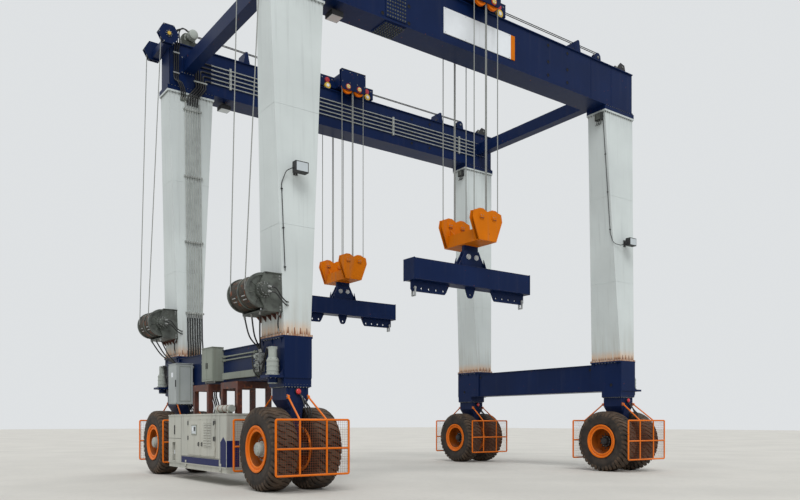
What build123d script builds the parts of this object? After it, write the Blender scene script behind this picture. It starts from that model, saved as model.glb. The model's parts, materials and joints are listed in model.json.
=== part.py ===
"""Rubber tyred gantry crane: two box girders on four legs, four steered twin wheels, two trolleys.

Millimetres. X runs along the girders, Y is the travel direction, +Z is up.
The ground is Z = 0 and the origin is at the bottom centre of the whole machine's box.
"""

import math
import os
from build123d import *

os.makedirs("parts", exist_ok=True)

# Wheel stations, seen from above
TRACK = 10920.0
WHEELBASE = 6560.0
LEG_INSET = 200.0

# Tyres, rims and axles of the twin wheels
TYRE_D = 1750.0
TYRE_W = 600.0
TREAD_LAND_W = 500.0
TREAD_EDGE_DROP = 14.0
LUG_DEPTH = 42.0
LUGS_A_SIDE = 12
LUG_TOP_TURN = 14.0
LUG_SIDE_SLOPE = 0.4
LUG_SLANT = 16.0
SIDEWALL_STEP = 8.0
SIDEWALL_LIP = 40.0
BORE_SIDES = 15
TWIN_GAP = 420.0
RIM_D = 920.0
RIM_LIP_D = 980.0
RIM_LIP_T = 26.0
RIM_WALL = 34.0
DISC_T = 30.0
DISC_DISH_LEFT = 190.0
DISC_DISH_RIGHT = 310.0
HUB_D = 330.0
HUB_LEN = 150.0
HUB_CAP_D = 290.0
HUB_CAP_LEN = 110.0
AXLE_D = 200.0
TYRE_SEAT_CLEAR = 0.3
RUN_CLEAR = 0.3

# Steered yokes, their turntables and the guard cages
TURN_PLATE_Z = 2220.0
TURN_PLATE_T = 130.0
TURN_PLATE_X = 640.0
TURN_PLATE_Y = 690.0
TURN_PLATE_LIP = 20.0
YOKE_FLANGE_T = 50.0
YOKE_BOX_X = 520.0
YOKE_BOX_Y = 640.0
YOKE_BOX_BOTTOM_Z = 1900.0
YOKE_TAPER_Z = 1690.0
YOKE_TAPER_Y = 560.0
YOKE_WEB_X = 260.0
YOKE_WEB_FOOT_Y = 340.0
YOKE_FOOT_DROP = 170.0
CAGE_HALF_X = 835.0
CAGE_HALF_Y = 1000.0
CAGE_TUBE = 46.0
CAGE_LOW_Z = 370.0
CAGE_TOP_Z = 1480.0
CAGE_MID_Z = 900.0
CAGE_POST_X = 310.0
STAY_TOP_Z = 1960.0

# Saddle beams and the base boxes at their ends
SADDLE_X = 560.0
SADDLE_TOP_Z = 3160.0
BASE_BOX_MARGIN = 10.0
BASE_BOX_TOP_Z = 3190.0
FOOT_PLATE_T = 40.0
FOOT_PLATE_LIP = 40.0
GUSSET_T = 20.0
GUSSET_H = 130.0

# Legs: broad across at the head, broad along at the foot
LEG_FOOT_X = 620.0
LEG_FOOT_Y = 1060.0
LEG_HEAD_X = 1270.0
LEG_HEAD_Y = 620.0
LEG_HEAD_SHIFT = 105.0
LEG_HEAD_Z = 10490.0
HEAD_PLATE_T = 50.0
HEAD_PLATE_LIP = 30.0

# Girders and the cross beams between them
GIRDER_OVERHANG = 500.0
GIRDER_W = 700.0
GIRDER_WEB_W = 620.0
GIRDER_BOTTOM_Z = 10660.0
GIRDER_DEPTH = 1195.0
FLANGE_T = 24.0
CROSS_BEAM_W = 300.0
CROSS_BEAM_H = 370.0
CROSS_BEAM_Z = 11100.0
CROSS_BEAM_IN = 40.0

# Trolleys, their sheaves and the end stops on the girders
TROLLEY_X = -220.0
TROLLEY_HALF = 1000.0
TROLLEY_W = 520.0
TROLLEY_FLOOR_Z = 11950.0
TROLLEY_END_H = 330.0
TROLLEY_END_LEN = 520.0
TROLLEY_WHEEL_D = 200.0
TROLLEY_WHEEL_W = 70.0
BRIDGE_HALF_X = 430.0
BRIDGE_H = 380.0
HOUSING_HALF_X = 445.0
HOUSING_LOW_Z = 11830.0
HOUSING_TOP_Z = 12450.0
HOUSING_CHAMFER = 75.0
SHEAVE_PLANE_Y = 600.0
SHEAVE_Z = 11930.0
SHEAVE_X = 205.0
SHEAVE_CORE_R = 176.0
SHEAVE_RIM_R = 200.0
GROOVE_FLARE = 0.45
SHEAVE_W = 64.0
CHEEK_GAP = 90.0
CHEEK_T = 22.0
PIN_R = 38.0
CAP_R = 62.0
CAP_T = 26.0
BEARING_CAP_R = 86.0
BEARING_CAP_T = 40.0
BEARING_CAP_Z = 12145.0
STOP_IN = 1810.0
STOP_BASE = 220.0
STOP_H = 390.0
STOP_W = 480.0
ROPE_R = 12.0
ROPE_CLEAR = 0.3

# Lower blocks, lifting beams and their lugs
BLOCK_PIN_Z = 6520.0
BLOCK_HALF_X = 490.0
BLOCK_SHOULDER_IN = 35.0
BLOCK_SHOULDER_DROP = 70.0
BLOCK_FLANK_DROP = 60.0
BLOCK_TOP_RISE = 190.0
BLOCK_DIP = 70.0
BLOCK_EAR = 125.0
BLOCK_LOW_Z = 5930.0
BLOCK_FOOT_HALF_X = 290.0
BLOCK_BOX_H = 300.0
BLOCK_TONGUE_T = 90.0
BLOCK_TONGUE_X = 460.0
BEAM_HALF_X = 1945.0
BEAM_W = 420.0
BEAM_LOW_Z = 4850.0
BEAM_H = 510.0
CLEVIS_PIN_Z = 5620.0
CLEVIS_PIN_X = 130.0
CLEVIS_CHEEK_T = 45.0
CLEVIS_GAP_CLEAR = 2.0
CLEVIS_BASE_X = 900.0
CLEVIS_TOP_X = 560.0
CLEVIS_H = 420.0
CLEVIS_PIN_R = 45.0
LUG_T = 50.0
LUG_HOLE_R = 32.0
LUG_HOLE_DROP = 175.0
LUG_EDGE = 85.0
LUG_FIRST_X = 890.0
LUG_PITCH = 228.0
LUG_COUNT = 5
CENTRE_LUG_X = 330.0
SHACKLE_R = 19.0
SHACKLE_GAP = 8.0
SHACKLE_PIN_CLEAR = 0.3
SHACKLE_DROP = 190.0

# Hoist winches on the outer faces of the left legs
WINCH_Z = 4120.0
WINCH_FLANGE_R = 360.0
WINCH_FLANGE_T = 60.0
WINCH_RIM = 55.0
WINCH_RIM_DEPTH = 25.0
WINCH_LEG_GAP = 40.0
WINCH_FLOOR_GAP = 20.0
WINCH_HALF_LEN = 490.0
WINCH_SHIFT_Y = 50.0
DRUM_R = 245.0
WOUND_R = 315.0
WOUND_DIVIDER_R = 345.0
WOUND_DIVIDER_T = 36.0
WINCH_PLATE_T = 45.0
WINCH_SHAFT_R = 60.0
WINCH_SHELF_T = 40.0
WINCH_PLATE_GAP = 6.0
WINCH_MOTOR_R = 130.0
WINCH_MOTOR_LEN = 120.0
DRUM_ROPE_Y = (-290.0, 430.0)

# Head sheaves at the girders' left ends, return sheaves near their right ends
HEAD_SHEAVE_OUT = 75.0
HEAD_SHEAVE_Z = 11860.0
HEAD_PLATE_R = 290.0
SPACER_R = 12.0
SPACER_IN = 34.0
RETURN_IN = 760.0
RETURN_H = 400.0
RETURN_HALF_X = 110.0
RETURN_R = 95.0
DRIVE_IN = 130.0
DRIVE_BASE_H = 190.0
DRIVE_LEN = 620.0
DRIVE_MOTOR_R = 125.0
DRIVE_PULLEY_R = 190.0

# Generating set slung under the left saddle beam
CANOPY_OUT = 825.0
CANOPY_W = 1150.0
CANOPY_HALF_Y = 1870.0
CANOPY_LOW_Z = 400.0
CANOPY_TOP_Z = 1620.0
SKID_H = 110.0
SKID_BEAM = 120.0
SKID_IN = 12.0
RECESS_DEPTH = 70.0
RECESS_Y = (1345.0, 1565.0)
RECESS_Z = (450.0, 930.0)
GRILLE_IN_X = (380.0, 120.0)
GRILLE_Z = (550.0, 1420.0)
GRILLE_DEPTH = 60.0
GRILLE_SLATS = 12
SLAT_T = 12.0
LOUVRE_Y = (-1080.0, -630.0)
LOUVRE_Z = (870.0, 1410.0)
LOUVRE_SLOTS = 9
LOUVRE_SLOT_H = 28.0
DOOR_LOW_Z = 640.0
DOOR_H = 870.0
DOOR_W = 840.0
DOOR_MEET_Y = -400.0
DOOR_T = 26.0
DOOR_GAP = 6.0
DOOR_FACE_CLEAR = 0.3
BAY_DEPTH = 420.0
ENGINE_DEPTH = 300.0
MUFFLER_R = 80.0
MUFFLER_LEN = 760.0
MUFFLER_IN = 150.0
EXHAUST_R = 34.0
HANGER_BEAM = 150.0
HANGER_POST = 110.0
HANGER_OUT = 500.0
HANGER_BAYS = ((-1850.0, -900.0), (-150.0, 850.0))

# Cabinets on the left saddle beam
CABINET_X = 400.0
CABINET_Y = 630.0
CABINET_Z = 1040.0
CABINET_LOW_Z = 1900.0
CABINET_IN = 460.0
CABINET_WALL = 25.0
CABINET_BACK = 60.0
CABINET_DOOR_T = 22.0
CABINET_ARM = 60.0
VALVE_X = 280.0
VALVE_Y = 680.0
VALVE_Z = 800.0
VALVE_LOW_Z = 2420.0
VALVE_NEAR_Y = -420.0

# Pipes, tray and floodlights
PIPE_R = 17.0
PIPE_STAND_OFF = 26.0
HOSE_R = 20.0
HOSE_BEND = 62.0
HOSE_CLEAR = 12.0
GIRDER_PIPE_Z = (11010.0, 11130.0, 11250.0, 11370.0, 11490.0)
GIRDER_PIPE_IN = (620.0, 310.0)
PIPE_CLAMP_IN = (640.0, 740.0)
HOSE_SHIFT = 232.0
PIPE_CLAMPS = 4
LEG_PIPE_COUNT = 7
LEG_PIPE_PITCH = 68.0
LEG_PIPE_IN = 140.0
LEG_PIPE_Z = (3700.0, 10300.0)
LEG_CLAMP_Z = (4430.0, 6400.0, 8220.0, 10080.0)
SADDLE_PIPE_Z = (2905.0, 2990.0)
SADDLE_PIPE_IN = 190.0
SADDLE_PIPE_GAP = 550.0
TRAY_Z = 2440.0
TRAY_H = 150.0
TRAY_X = 120.0
TRAY_IN = 140.0
TRAY_GAP = 200.0
LAMP_X = 300.0
LAMP_Y = 150.0
LAMP_Z = 220.0
LAMP_IN = 1210.0
LAMP_DROP = 90.0
LEG_LAMP_Z = 6700.0
LAMP_ARM = 50.0
LAMP_ARM_LEN = 160.0
CABLE_R = 9.0
CABLE_OUT = 14.0
CABLE_IN = 75.0
CABLE_LOW_Z = 4560.0
CABLE_TURN_Z = 6380.0
CABLE_TOP_Z = 10470.0
CABLE_BEND_Z = 6950.0
CLIP_WIDE = 20.0
CLIP_HALF_H = 12.0
LEFT_CLIP_Z = (4640.0, 5450.0, 6260.0)
RIGHT_CLIP_Z = (7060.0, 8150.0, 9250.0, 10350.0)
STEER_MOTOR_R = 125.0
STEER_MOTOR_LEN = 540.0
STEER_SHELF_T = 50.0
STEER_SHELF_X = 330.0
STEER_SHELF_Y = 420.0
STEER_MOTOR_OUT = 150.0
STEER_OUT_Y = 130.0


def leg_outer(z):
    """Distance of a leg's outer face from the wheel station's centre, at height z."""
    share = (z - LEG_FOOT_Z) / (LEG_HEAD_Z - LEG_FOOT_Z)
    top = LEG_HEAD_X / 2 - LEG_HEAD_SHIFT
    return LEG_FOOT_X / 2 + (top - LEG_FOOT_X / 2) * share


def leg_side(z):
    """Distance of a leg's near or far face from its own centre plane, at height z."""
    share = (z - LEG_FOOT_Z) / (LEG_HEAD_Z - LEG_FOOT_Z)
    return LEG_FOOT_Y / 2 + (LEG_HEAD_Y / 2 - LEG_FOOT_Y / 2) * share


def leg_edge(way, z):
    """Distance from a leg's foot centre to its left face, at height z; way is -1 for a left leg."""
    share = (z - LEG_FOOT_Z) / (LEG_HEAD_Z - LEG_FOOT_Z)
    return LEG_FOOT_X / 2 + ((LEG_HEAD_X - LEG_FOOT_X) / 2 + way * LEG_HEAD_SHIFT) * share


# Heights and places that follow from the sizes above
AXLE_Z = TYRE_D / 2
BASE_BOX_X = TURN_PLATE_X
BASE_BOX_IN = LEG_INSET + LEG_FOOT_Y / 2 + BASE_BOX_MARGIN
BASE_BOX_OUT = TURN_PLATE_Y / 2 + TURN_PLATE_LIP
BASE_BOX_LOW_Z = TURN_PLATE_Z + TURN_PLATE_T
LEG_FOOT_Z = BASE_BOX_TOP_Z + 2 * FOOT_PLATE_T
GIRDER_TOP_Z = GIRDER_BOTTOM_Z + GIRDER_DEPTH
PIVOT_Y = WHEELBASE / 2
LEG_Y = PIVOT_Y - LEG_INSET
SADDLE_END_Y = PIVOT_Y - BASE_BOX_IN
GIRDER_LEN = TRACK + 2 * GIRDER_OVERHANG
STOP_X = TRACK / 2 - STOP_IN
CABINET_FAR_Y = SADDLE_END_Y - CABINET_IN
CABINET_NEAR_Y = CABINET_FAR_Y - CABINET_Y
WINCH_OUT = leg_outer(WINCH_Z + WINCH_FLANGE_R) + WINCH_LEG_GAP + WINCH_FLANGE_R
LEFT_REACH = TRACK / 2 + WINCH_OUT + WINCH_FLANGE_R
RIGHT_REACH = TRACK / 2 + CAGE_HALF_X + CAGE_TUBE / 2
MID_X = (LEFT_REACH - RIGHT_REACH) / 2
LEFT_X = MID_X - TRACK / 2
SHEAVE_ROPE_R = SHEAVE_CORE_R + ROPE_CLEAR + ROPE_R

# name, side along X, side along Y
CORNERS = (
    ("nl", -1, -1),
    ("nr", 1, -1),
    ("fl", -1, 1),
    ("fr", 1, 1),
)

# name, side along Y
SIDES = (
    ("near", -1),
    ("far", 1),
)


def block(x0, x1, y0, y1, z0, z1, mode=Mode.ADD):
    """A box between two corners."""
    with Locations(((x0 + x1) / 2, (y0 + y1) / 2, (z0 + z1) / 2)):
        Box(abs(x1 - x0), abs(y1 - y0), abs(z1 - z0), mode=mode)


def rod(axis, centre, radius, length, mode=Mode.ADD):
    """A cylinder along x, y or z, about its centre."""
    turn = {"x": (0, 90, 0), "y": (90, 0, 0), "z": (0, 0, 0)}[axis]
    with Locations(centre):
        Cylinder(radius, length, rotation=turn, mode=mode)


def plate_y(points, y0, y1, mode=Mode.ADD):
    """A flat plate from points in X and Z, between two places along Y."""
    with BuildSketch(Plane.XZ.offset(-y1)) as outline:
        Polygon(*points, align=None)
    extrude(outline.sketch, amount=y1 - y0, mode=mode)


def plate_x(points, x0, x1, mode=Mode.ADD):
    """A flat plate from points in Y and Z, between two places along X."""
    with BuildSketch(Plane.YZ.offset(x0)) as outline:
        Polygon(*points, align=None)
    extrude(outline.sketch, amount=x1 - x0, mode=mode)


def bar(start, end, width, sides=4):
    """A straight bar of square or many-sided section between two points."""
    a = Vector(*start)
    b = Vector(*end)
    way = b - a
    with BuildSketch(Plane(origin=a, z_dir=way)) as section:
        if sides == 4:
            Rectangle(width, width)
        else:
            RegularPolygon(width / 2, sides)
    extrude(section.sketch, amount=way.length)


def bent_tube(points, radii, radius):
    """A tube along straight runs that are joined by tangent arcs."""
    with BuildLine() as route:
        FilletPolyline(*points, radius=radii)
    path = route.wires()[0]
    with BuildSketch(Plane(origin=path @ 0, z_dir=path % 0)) as section:
        Circle(radius)
    sweep(section.sketch, path=path)


def toothed(x, top, floor, phase):
    """An outline across X with one tooth for each of a tyre's lugs, and sides of one slope."""
    spread = math.degrees((top - floor) * LUG_SIDE_SLOPE / floor)
    edges = (
        (-LUG_TOP_TURN / 2 - spread, floor),
        (-LUG_TOP_TURN / 2, top),
        (LUG_TOP_TURN / 2, top),
        (LUG_TOP_TURN / 2 + spread, floor),
    )
    points = []
    for step in range(LUGS_A_SIDE):
        for turn, radius in edges:
            angle = math.radians(360 / LUGS_A_SIDE * step + phase + turn)
            points.append((radius * math.cos(angle), radius * math.sin(angle)))
    with BuildSketch(Plane.YZ.offset(x)) as outline:
        Polygon(*points, align=None)
    return outline.sketch


def round_hole(x, radius):
    """A many-sided outline across X that stands just outside of a circle."""
    with BuildSketch(Plane.YZ.offset(x)) as outline:
        RegularPolygon(radius, BORE_SIDES, major_radius=False)
    return outline.sketch


def sheave(x, y, z):
    """A sheave about Y, with a groove that clears the rope in it."""
    wide = SHEAVE_W / 2
    floor = ROPE_R + ROPE_CLEAR
    mouth = floor + (SHEAVE_RIM_R - SHEAVE_CORE_R) * GROOVE_FLARE
    profile = [
        (0, -wide),
        (SHEAVE_RIM_R, -wide),
        (SHEAVE_RIM_R, -mouth),
        (SHEAVE_CORE_R, -floor),
        (SHEAVE_CORE_R, floor),
        (SHEAVE_RIM_R, mouth),
        (SHEAVE_RIM_R, wide),
        (0, wide),
    ]
    with BuildSketch(Plane(origin=(x, y, z), x_dir=(1, 0, 0), z_dir=(0, 0, 1))) as section:
        Polygon(*profile, align=None)
    revolve(section.sketch, axis=Axis((x, y, z), (0, 1, 0)), revolution_arc=360)


def sheave_pair(x, y, z, cheek_side):
    """Two sheaves side by side on pins, with round caps on the outer cheek."""
    for offset in (-SHEAVE_X, SHEAVE_X):
        sheave(x + offset, y, z)
        reach = CHEEK_GAP / 2 + CHEEK_T
        rod("y", (x + offset, y, z), PIN_R, 2 * reach)
        cap_y = y + cheek_side * (reach + CAP_T / 2)
        rod("y", (x + offset, cap_y, z), CAP_R, CAP_T)


# Girders: a box with wider flanges, seats over the legs and end stops for the trolley
for name, side in SIDES:
    y = side * LEG_Y
    with BuildPart() as girder:
        x0 = MID_X - GIRDER_LEN / 2
        x1 = MID_X + GIRDER_LEN / 2
        web = GIRDER_WEB_W / 2
        block(x0, x1, y - web, y + web, GIRDER_BOTTOM_Z, GIRDER_TOP_Z)
        half = GIRDER_W / 2
        block(x0, x1, y - half, y + half, GIRDER_BOTTOM_Z, GIRDER_BOTTOM_Z + FLANGE_T)
        block(x0, x1, y - half, y + half, GIRDER_TOP_Z - FLANGE_T, GIRDER_TOP_Z)
        for way in (-1, 1):
            seat = MID_X + way * (TRACK / 2 - LEG_HEAD_SHIFT)
            reach = LEG_HEAD_X / 2 + HEAD_PLATE_LIP
            seat_y = LEG_HEAD_Y / 2 + HEAD_PLATE_LIP
            seat_z = LEG_HEAD_Z + HEAD_PLATE_T
            block(seat - reach, seat + reach, y - seat_y, y + seat_y, seat_z, GIRDER_BOTTOM_Z)
            foot = MID_X + way * STOP_X
            stop = [
                (foot - STOP_BASE / 2, GIRDER_TOP_Z),
                (foot + STOP_BASE / 2, GIRDER_TOP_Z),
                (foot + STOP_BASE / 7, GIRDER_TOP_Z + STOP_H),
                (foot - STOP_BASE / 7, GIRDER_TOP_Z + STOP_H),
            ]
            plate_y(stop, y - STOP_W / 2, y + STOP_W / 2)
    girder.part.label = "girder_" + name
    export_step(girder.part, "parts/girder_" + name + ".step")

# Cross beams between the girders' webs
for name, way in (("left", -1), ("right", 1)):
    with BuildPart() as cross_beam:
        x = MID_X + way * (TRACK / 2 - CROSS_BEAM_IN)
        reach = LEG_Y - GIRDER_WEB_W / 2
        half = CROSS_BEAM_W / 2
        block(x - half, x + half, -reach, reach, CROSS_BEAM_Z, CROSS_BEAM_Z + CROSS_BEAM_H)
    cross_beam.part.label = "cross_beam_" + name
    export_step(cross_beam.part, "parts/cross_beam_" + name + ".step")

# Legs: tapered boxes with a flange at each end
for name, way, side in CORNERS:
    x = MID_X + way * TRACK / 2
    y = side * LEG_Y
    head_x = x - way * LEG_HEAD_SHIFT
    with BuildPart() as leg:
        with BuildSketch(Plane.XY.offset(LEG_FOOT_Z)):
            with Locations((x, y)):
                Rectangle(LEG_FOOT_X, LEG_FOOT_Y)
        with BuildSketch(Plane.XY.offset(LEG_HEAD_Z)):
            with Locations((head_x, y)):
                Rectangle(LEG_HEAD_X, LEG_HEAD_Y)
        loft(ruled=True)
        foot_x = LEG_FOOT_X / 2 + FOOT_PLATE_LIP
        foot_y = LEG_FOOT_Y / 2 + FOOT_PLATE_LIP / 2
        block(x - foot_x, x + foot_x, y - foot_y, y + foot_y, LEG_FOOT_Z - FOOT_PLATE_T, LEG_FOOT_Z)
        reach = LEG_HEAD_X / 2 + HEAD_PLATE_LIP
        deep = LEG_HEAD_Y / 2 + HEAD_PLATE_LIP
        top = LEG_HEAD_Z + HEAD_PLATE_T
        block(head_x - reach, head_x + reach, y - deep, y + deep, LEG_HEAD_Z, top)
    leg.part.label = "leg_" + name
    export_step(leg.part, "parts/leg_" + name + ".step")

# Saddle beams: a long box, and at each end a base box with its flange, gussets and turntable plate
for name, way in (("left", -1), ("right", 1)):
    x = MID_X + way * TRACK / 2
    with BuildPart() as saddle:
        half = SADDLE_X / 2
        reach = PIVOT_Y - BASE_BOX_IN
        block(x - half, x + half, -reach, reach, BASE_BOX_LOW_Z, SADDLE_TOP_Z)
        for side in (-1, 1):
            y_in = side * (PIVOT_Y - BASE_BOX_IN)
            y_out = side * (PIVOT_Y + BASE_BOX_OUT)
            low_y, high_y = min(y_in, y_out), max(y_in, y_out)
            half = BASE_BOX_X / 2
            block(x - half, x + half, low_y, high_y, BASE_BOX_LOW_Z, BASE_BOX_TOP_Z)
            foot_x = LEG_FOOT_X / 2 + FOOT_PLATE_LIP
            foot_y = LEG_FOOT_Y / 2 + FOOT_PLATE_LIP / 2
            y = side * LEG_Y
            top = BASE_BOX_TOP_Z + FOOT_PLATE_T
            block(x - foot_x, x + foot_x, y - foot_y, y + foot_y, BASE_BOX_TOP_Z, top)
            pivot = side * PIVOT_Y
            px = TURN_PLATE_X / 2
            py = TURN_PLATE_Y / 2
            block(x - px, x + px, pivot - py, pivot + py, TURN_PLATE_Z, BASE_BOX_LOW_Z)
            for edge in (-1, 1):
                for step in (-0.8, 0.0, 0.8):
                    mid = y + step * LEG_FOOT_Y / 2
                    near = x + edge * half
                    far = x + edge * foot_x
                    gusset = [
                        (near, BASE_BOX_TOP_Z),
                        (far, BASE_BOX_TOP_Z),
                        (near, BASE_BOX_TOP_Z - GUSSET_H),
                    ]
                    plate_y(gusset, mid - GUSSET_T / 2, mid + GUSSET_T / 2)
    saddle.part.label = "saddle_" + name
    export_step(saddle.part, "parts/saddle_" + name + ".step")

# Steering drives: an upright motor on a shelf at each base box's outer face
for name, way in (("left", -1), ("right", 1)):
    with BuildPart() as steering_drives:
        for side in (-1, 1):
            face = MID_X + way * (TRACK / 2 + BASE_BOX_X / 2)
            y = side * (PIVOT_Y + STEER_OUT_Y)
            half = STEER_SHELF_Y / 2
            shelf_z = BASE_BOX_LOW_Z
            outer = face + way * STEER_SHELF_X
            low_x, high_x = min(face, outer), max(face, outer)
            block(low_x, high_x, y - half, y + half, shelf_z, shelf_z + STEER_SHELF_T)
            x = face + way * STEER_MOTOR_OUT
            base = shelf_z + STEER_SHELF_T
            rod("z", (x, y, base + STEER_MOTOR_LEN * 0.3), STEER_MOTOR_R, STEER_MOTOR_LEN * 0.6)
            rod("z", (x, y, base + STEER_MOTOR_LEN * 0.8), STEER_MOTOR_R * 0.72, STEER_MOTOR_LEN * 0.4)
            rod("z", (x, y, shelf_z - 60), STEER_MOTOR_R * 0.8, 120)
    steering_drives.part.label = "steering_drives_" + name
    export_step(steering_drives.part, "parts/steering_drives_" + name + ".step")

# Yokes: flange, neck and web between the tyres, with the axle through its foot
for name, way, side in CORNERS:
    x = MID_X + way * TRACK / 2
    y = side * PIVOT_Y
    with BuildPart() as yoke:
        px = TURN_PLATE_X / 2
        py = TURN_PLATE_Y / 2
        block(x - px, x + px, y - py, y + py, TURN_PLATE_Z - YOKE_FLANGE_T, TURN_PLATE_Z)
        half = YOKE_BOX_Y / 2
        foot = YOKE_WEB_FOOT_Y / 2
        top = TURN_PLATE_Z - YOKE_FLANGE_T
        block(
            x - YOKE_BOX_X / 2,
            x + YOKE_BOX_X / 2,
            y - half,
            y + half,
            YOKE_BOX_BOTTOM_Z,
            top,
        )
        with BuildSketch(Plane.XY.offset(YOKE_BOX_BOTTOM_Z)):
            with Locations((x, y)):
                Rectangle(YOKE_BOX_X, YOKE_BOX_Y)
        with BuildSketch(Plane.XY.offset(YOKE_TAPER_Z)):
            with Locations((x, y)):
                Rectangle(YOKE_WEB_X, YOKE_TAPER_Y)
        loft(ruled=True)
        low = AXLE_Z - YOKE_FOOT_DROP
        web = [
            (y - half, top),
            (y + half, top),
            (y + half, YOKE_BOX_BOTTOM_Z - 60),
            (y + foot, AXLE_Z + 120),
            (y + foot, low),
            (y - foot, low),
            (y - foot, AXLE_Z + 120),
            (y - half, YOKE_BOX_BOTTOM_Z - 60),
        ]
        plate_x(web, x - YOKE_WEB_X / 2, x + YOKE_WEB_X / 2)
        dish = DISC_DISH_LEFT if way < 0 else DISC_DISH_RIGHT
        axle = TWIN_GAP / 2 + TYRE_W - dish + HUB_LEN / 2
        rod("x", (x, y, AXLE_Z), AXLE_D / 2, 2 * axle)
        lamp_y = y - half - 25
        rod("y", (x, lamp_y, TURN_PLATE_Z - 150), 55, 50)
    yoke.part.label = "yoke_" + name
    export_step(yoke.part, "parts/yoke_" + name + ".step")

# Guard cages: a framed panel fore and aft of each pair of wheels, on stays from the neck
for name, way, side in CORNERS:
    x = MID_X + way * TRACK / 2
    y = side * PIVOT_Y
    with BuildPart() as cage:
        for end in (-1, 1):
            plane = y + end * CAGE_HALF_Y
            tube = CAGE_TUBE / 2
            for z in (CAGE_LOW_Z, CAGE_MID_Z, CAGE_TOP_Z):
                block(
                    x - CAGE_HALF_X - tube,
                    x + CAGE_HALF_X + tube,
                    plane - tube,
                    plane + tube,
                    z - tube,
                    z + tube,
                )
            for across in (-CAGE_HALF_X, -CAGE_POST_X, CAGE_POST_X, CAGE_HALF_X):
                block(
                    x + across - tube,
                    x + across + tube,
                    plane - tube,
                    plane + tube,
                    CAGE_LOW_Z,
                    CAGE_TOP_Z,
                )
            for across in (-1, 1):
                inner = YOKE_BOX_X / 2 - tube
                start = (x + across * inner, y + end * (YOKE_BOX_Y / 2 + tube), STAY_TOP_Z)
                finish = (x + across * CAGE_POST_X, plane, CAGE_TOP_Z)
                bar(start, finish, CAGE_TUBE)
                foot_y = y + end * (YOKE_BOX_Y / 2 + CAGE_TUBE)
                wall_y = y + end * YOKE_BOX_Y / 2
                low_y, high_y = min(foot_y, wall_y), max(foot_y, wall_y)
                block(
                    x + across * inner - tube,
                    x + across * inner + tube,
                    low_y,
                    high_y,
                    STAY_TOP_Z - CAGE_TUBE,
                    STAY_TOP_Z + CAGE_TUBE,
                )
    cage.part.label = "cage_" + name
    export_step(cage.part, "parts/cage_" + name + ".step")

# One tyre about X: two toothed flanks with slanted lugs, half a pitch apart, and a bore for the rim
with BuildPart() as tyre_form:
    r_seat = RIM_D / 2 + TYRE_SEAT_CLEAR
    r_out = TYRE_D / 2
    r_edge = r_out - TREAD_EDGE_DROP
    r_wall = (r_seat + r_out) / 2
    bead = TYRE_W / 2 - RIM_LIP_T - 30
    tread_edge = TREAD_LAND_W / 2 - 8
    twist = math.degrees(tread_edge * math.tan(math.radians(LUG_SLANT)) / r_out)
    for flank in (-1, 1):
        phase = -90 + LUG_TOP_TURN / 2 + (180 / LUGS_A_SIDE if flank > 0 else 0)
        turned = phase - flank * twist
        step = SIDEWALL_STEP
        outlines = [
            toothed(0, r_out, r_out - LUG_DEPTH, phase),
            toothed(flank * tread_edge, r_edge, r_edge - LUG_DEPTH, turned),
            toothed(flank * TYRE_W / 2, r_wall + step, r_wall - step, turned),
        ]
        loft(outlines, ruled=True)
    wall = r_wall - SIDEWALL_LIP
    bore = [(-TYRE_W / 2, wall), (-bead, r_seat), (bead, r_seat), (TYRE_W / 2, wall)]
    loft([round_hole(along, radius) for along, radius in bore], ruled=True, mode=Mode.SUBTRACT)

# Tyres: a pair on every wheel station
for name, way, side in CORNERS:
    x = MID_X + way * TRACK / 2
    y = side * PIVOT_Y
    reach = TWIN_GAP / 2 + TYRE_W / 2
    with BuildPart() as tyres:
        with Locations((x - reach, y, AXLE_Z), (x + reach, y, AXLE_Z)):
            add(tyre_form.part)
    tyres.part.label = "tyres_" + name
    export_step(tyres.part, "parts/tyres_" + name + ".step")

# Rims: a drum with a lip, a dished disc and a hub that turns on the axle, capped outside
for name, way, side in CORNERS:
    x = MID_X + way * TRACK / 2
    y = side * PIVOT_Y
    with BuildPart() as rims:
        for hand in (-1, 1):
            outer = TWIN_GAP / 2 + TYRE_W
            inner = TWIN_GAP / 2
            r_rim = RIM_D / 2
            r_in = r_rim - RIM_WALL
            r_lip = RIM_LIP_D / 2
            r_hub = HUB_D / 2
            r_axle = AXLE_D / 2 + RUN_CLEAR
            disc = outer - (DISC_DISH_LEFT if way < 0 else DISC_DISH_RIGHT)
            cap = disc + HUB_LEN / 2 + 10
            profile = [
                (inner + 30, r_in),
                (inner + 30, r_rim),
                (outer - RIM_LIP_T - 6, r_rim),
                (outer - RIM_LIP_T - 6, r_lip),
                (outer - 6, r_lip),
                (outer - 6, r_in),
                (disc + DISC_T / 2, r_in),
                (disc + DISC_T / 2, r_hub),
                (disc + HUB_LEN / 2, r_hub),
                (cap, HUB_CAP_D / 2),
                (cap + HUB_CAP_LEN * 0.6, HUB_CAP_D * 0.4),
                (cap + HUB_CAP_LEN, HUB_CAP_D * 0.2),
                (cap + HUB_CAP_LEN, 0),
                (cap, 0),
                (cap, r_axle),
                (disc - HUB_LEN / 2, r_axle),
                (disc - HUB_LEN / 2, r_hub),
                (disc - DISC_T / 2, r_hub),
                (disc - DISC_T / 2, r_in),
            ]
            points = [(hand * along, radius) for along, radius in profile]
            place = Plane(origin=(x, y, AXLE_Z), x_dir=(1, 0, 0), z_dir=(0, -1, 0))
            with BuildSketch(place):
                Polygon(*points, align=None)
            revolve(axis=Axis((x, y, AXLE_Z), (1, 0, 0)), revolution_arc=360)
    rims.part.label = "rims_" + name
    export_step(rims.part, "parts/rims_" + name + ".step")

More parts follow.
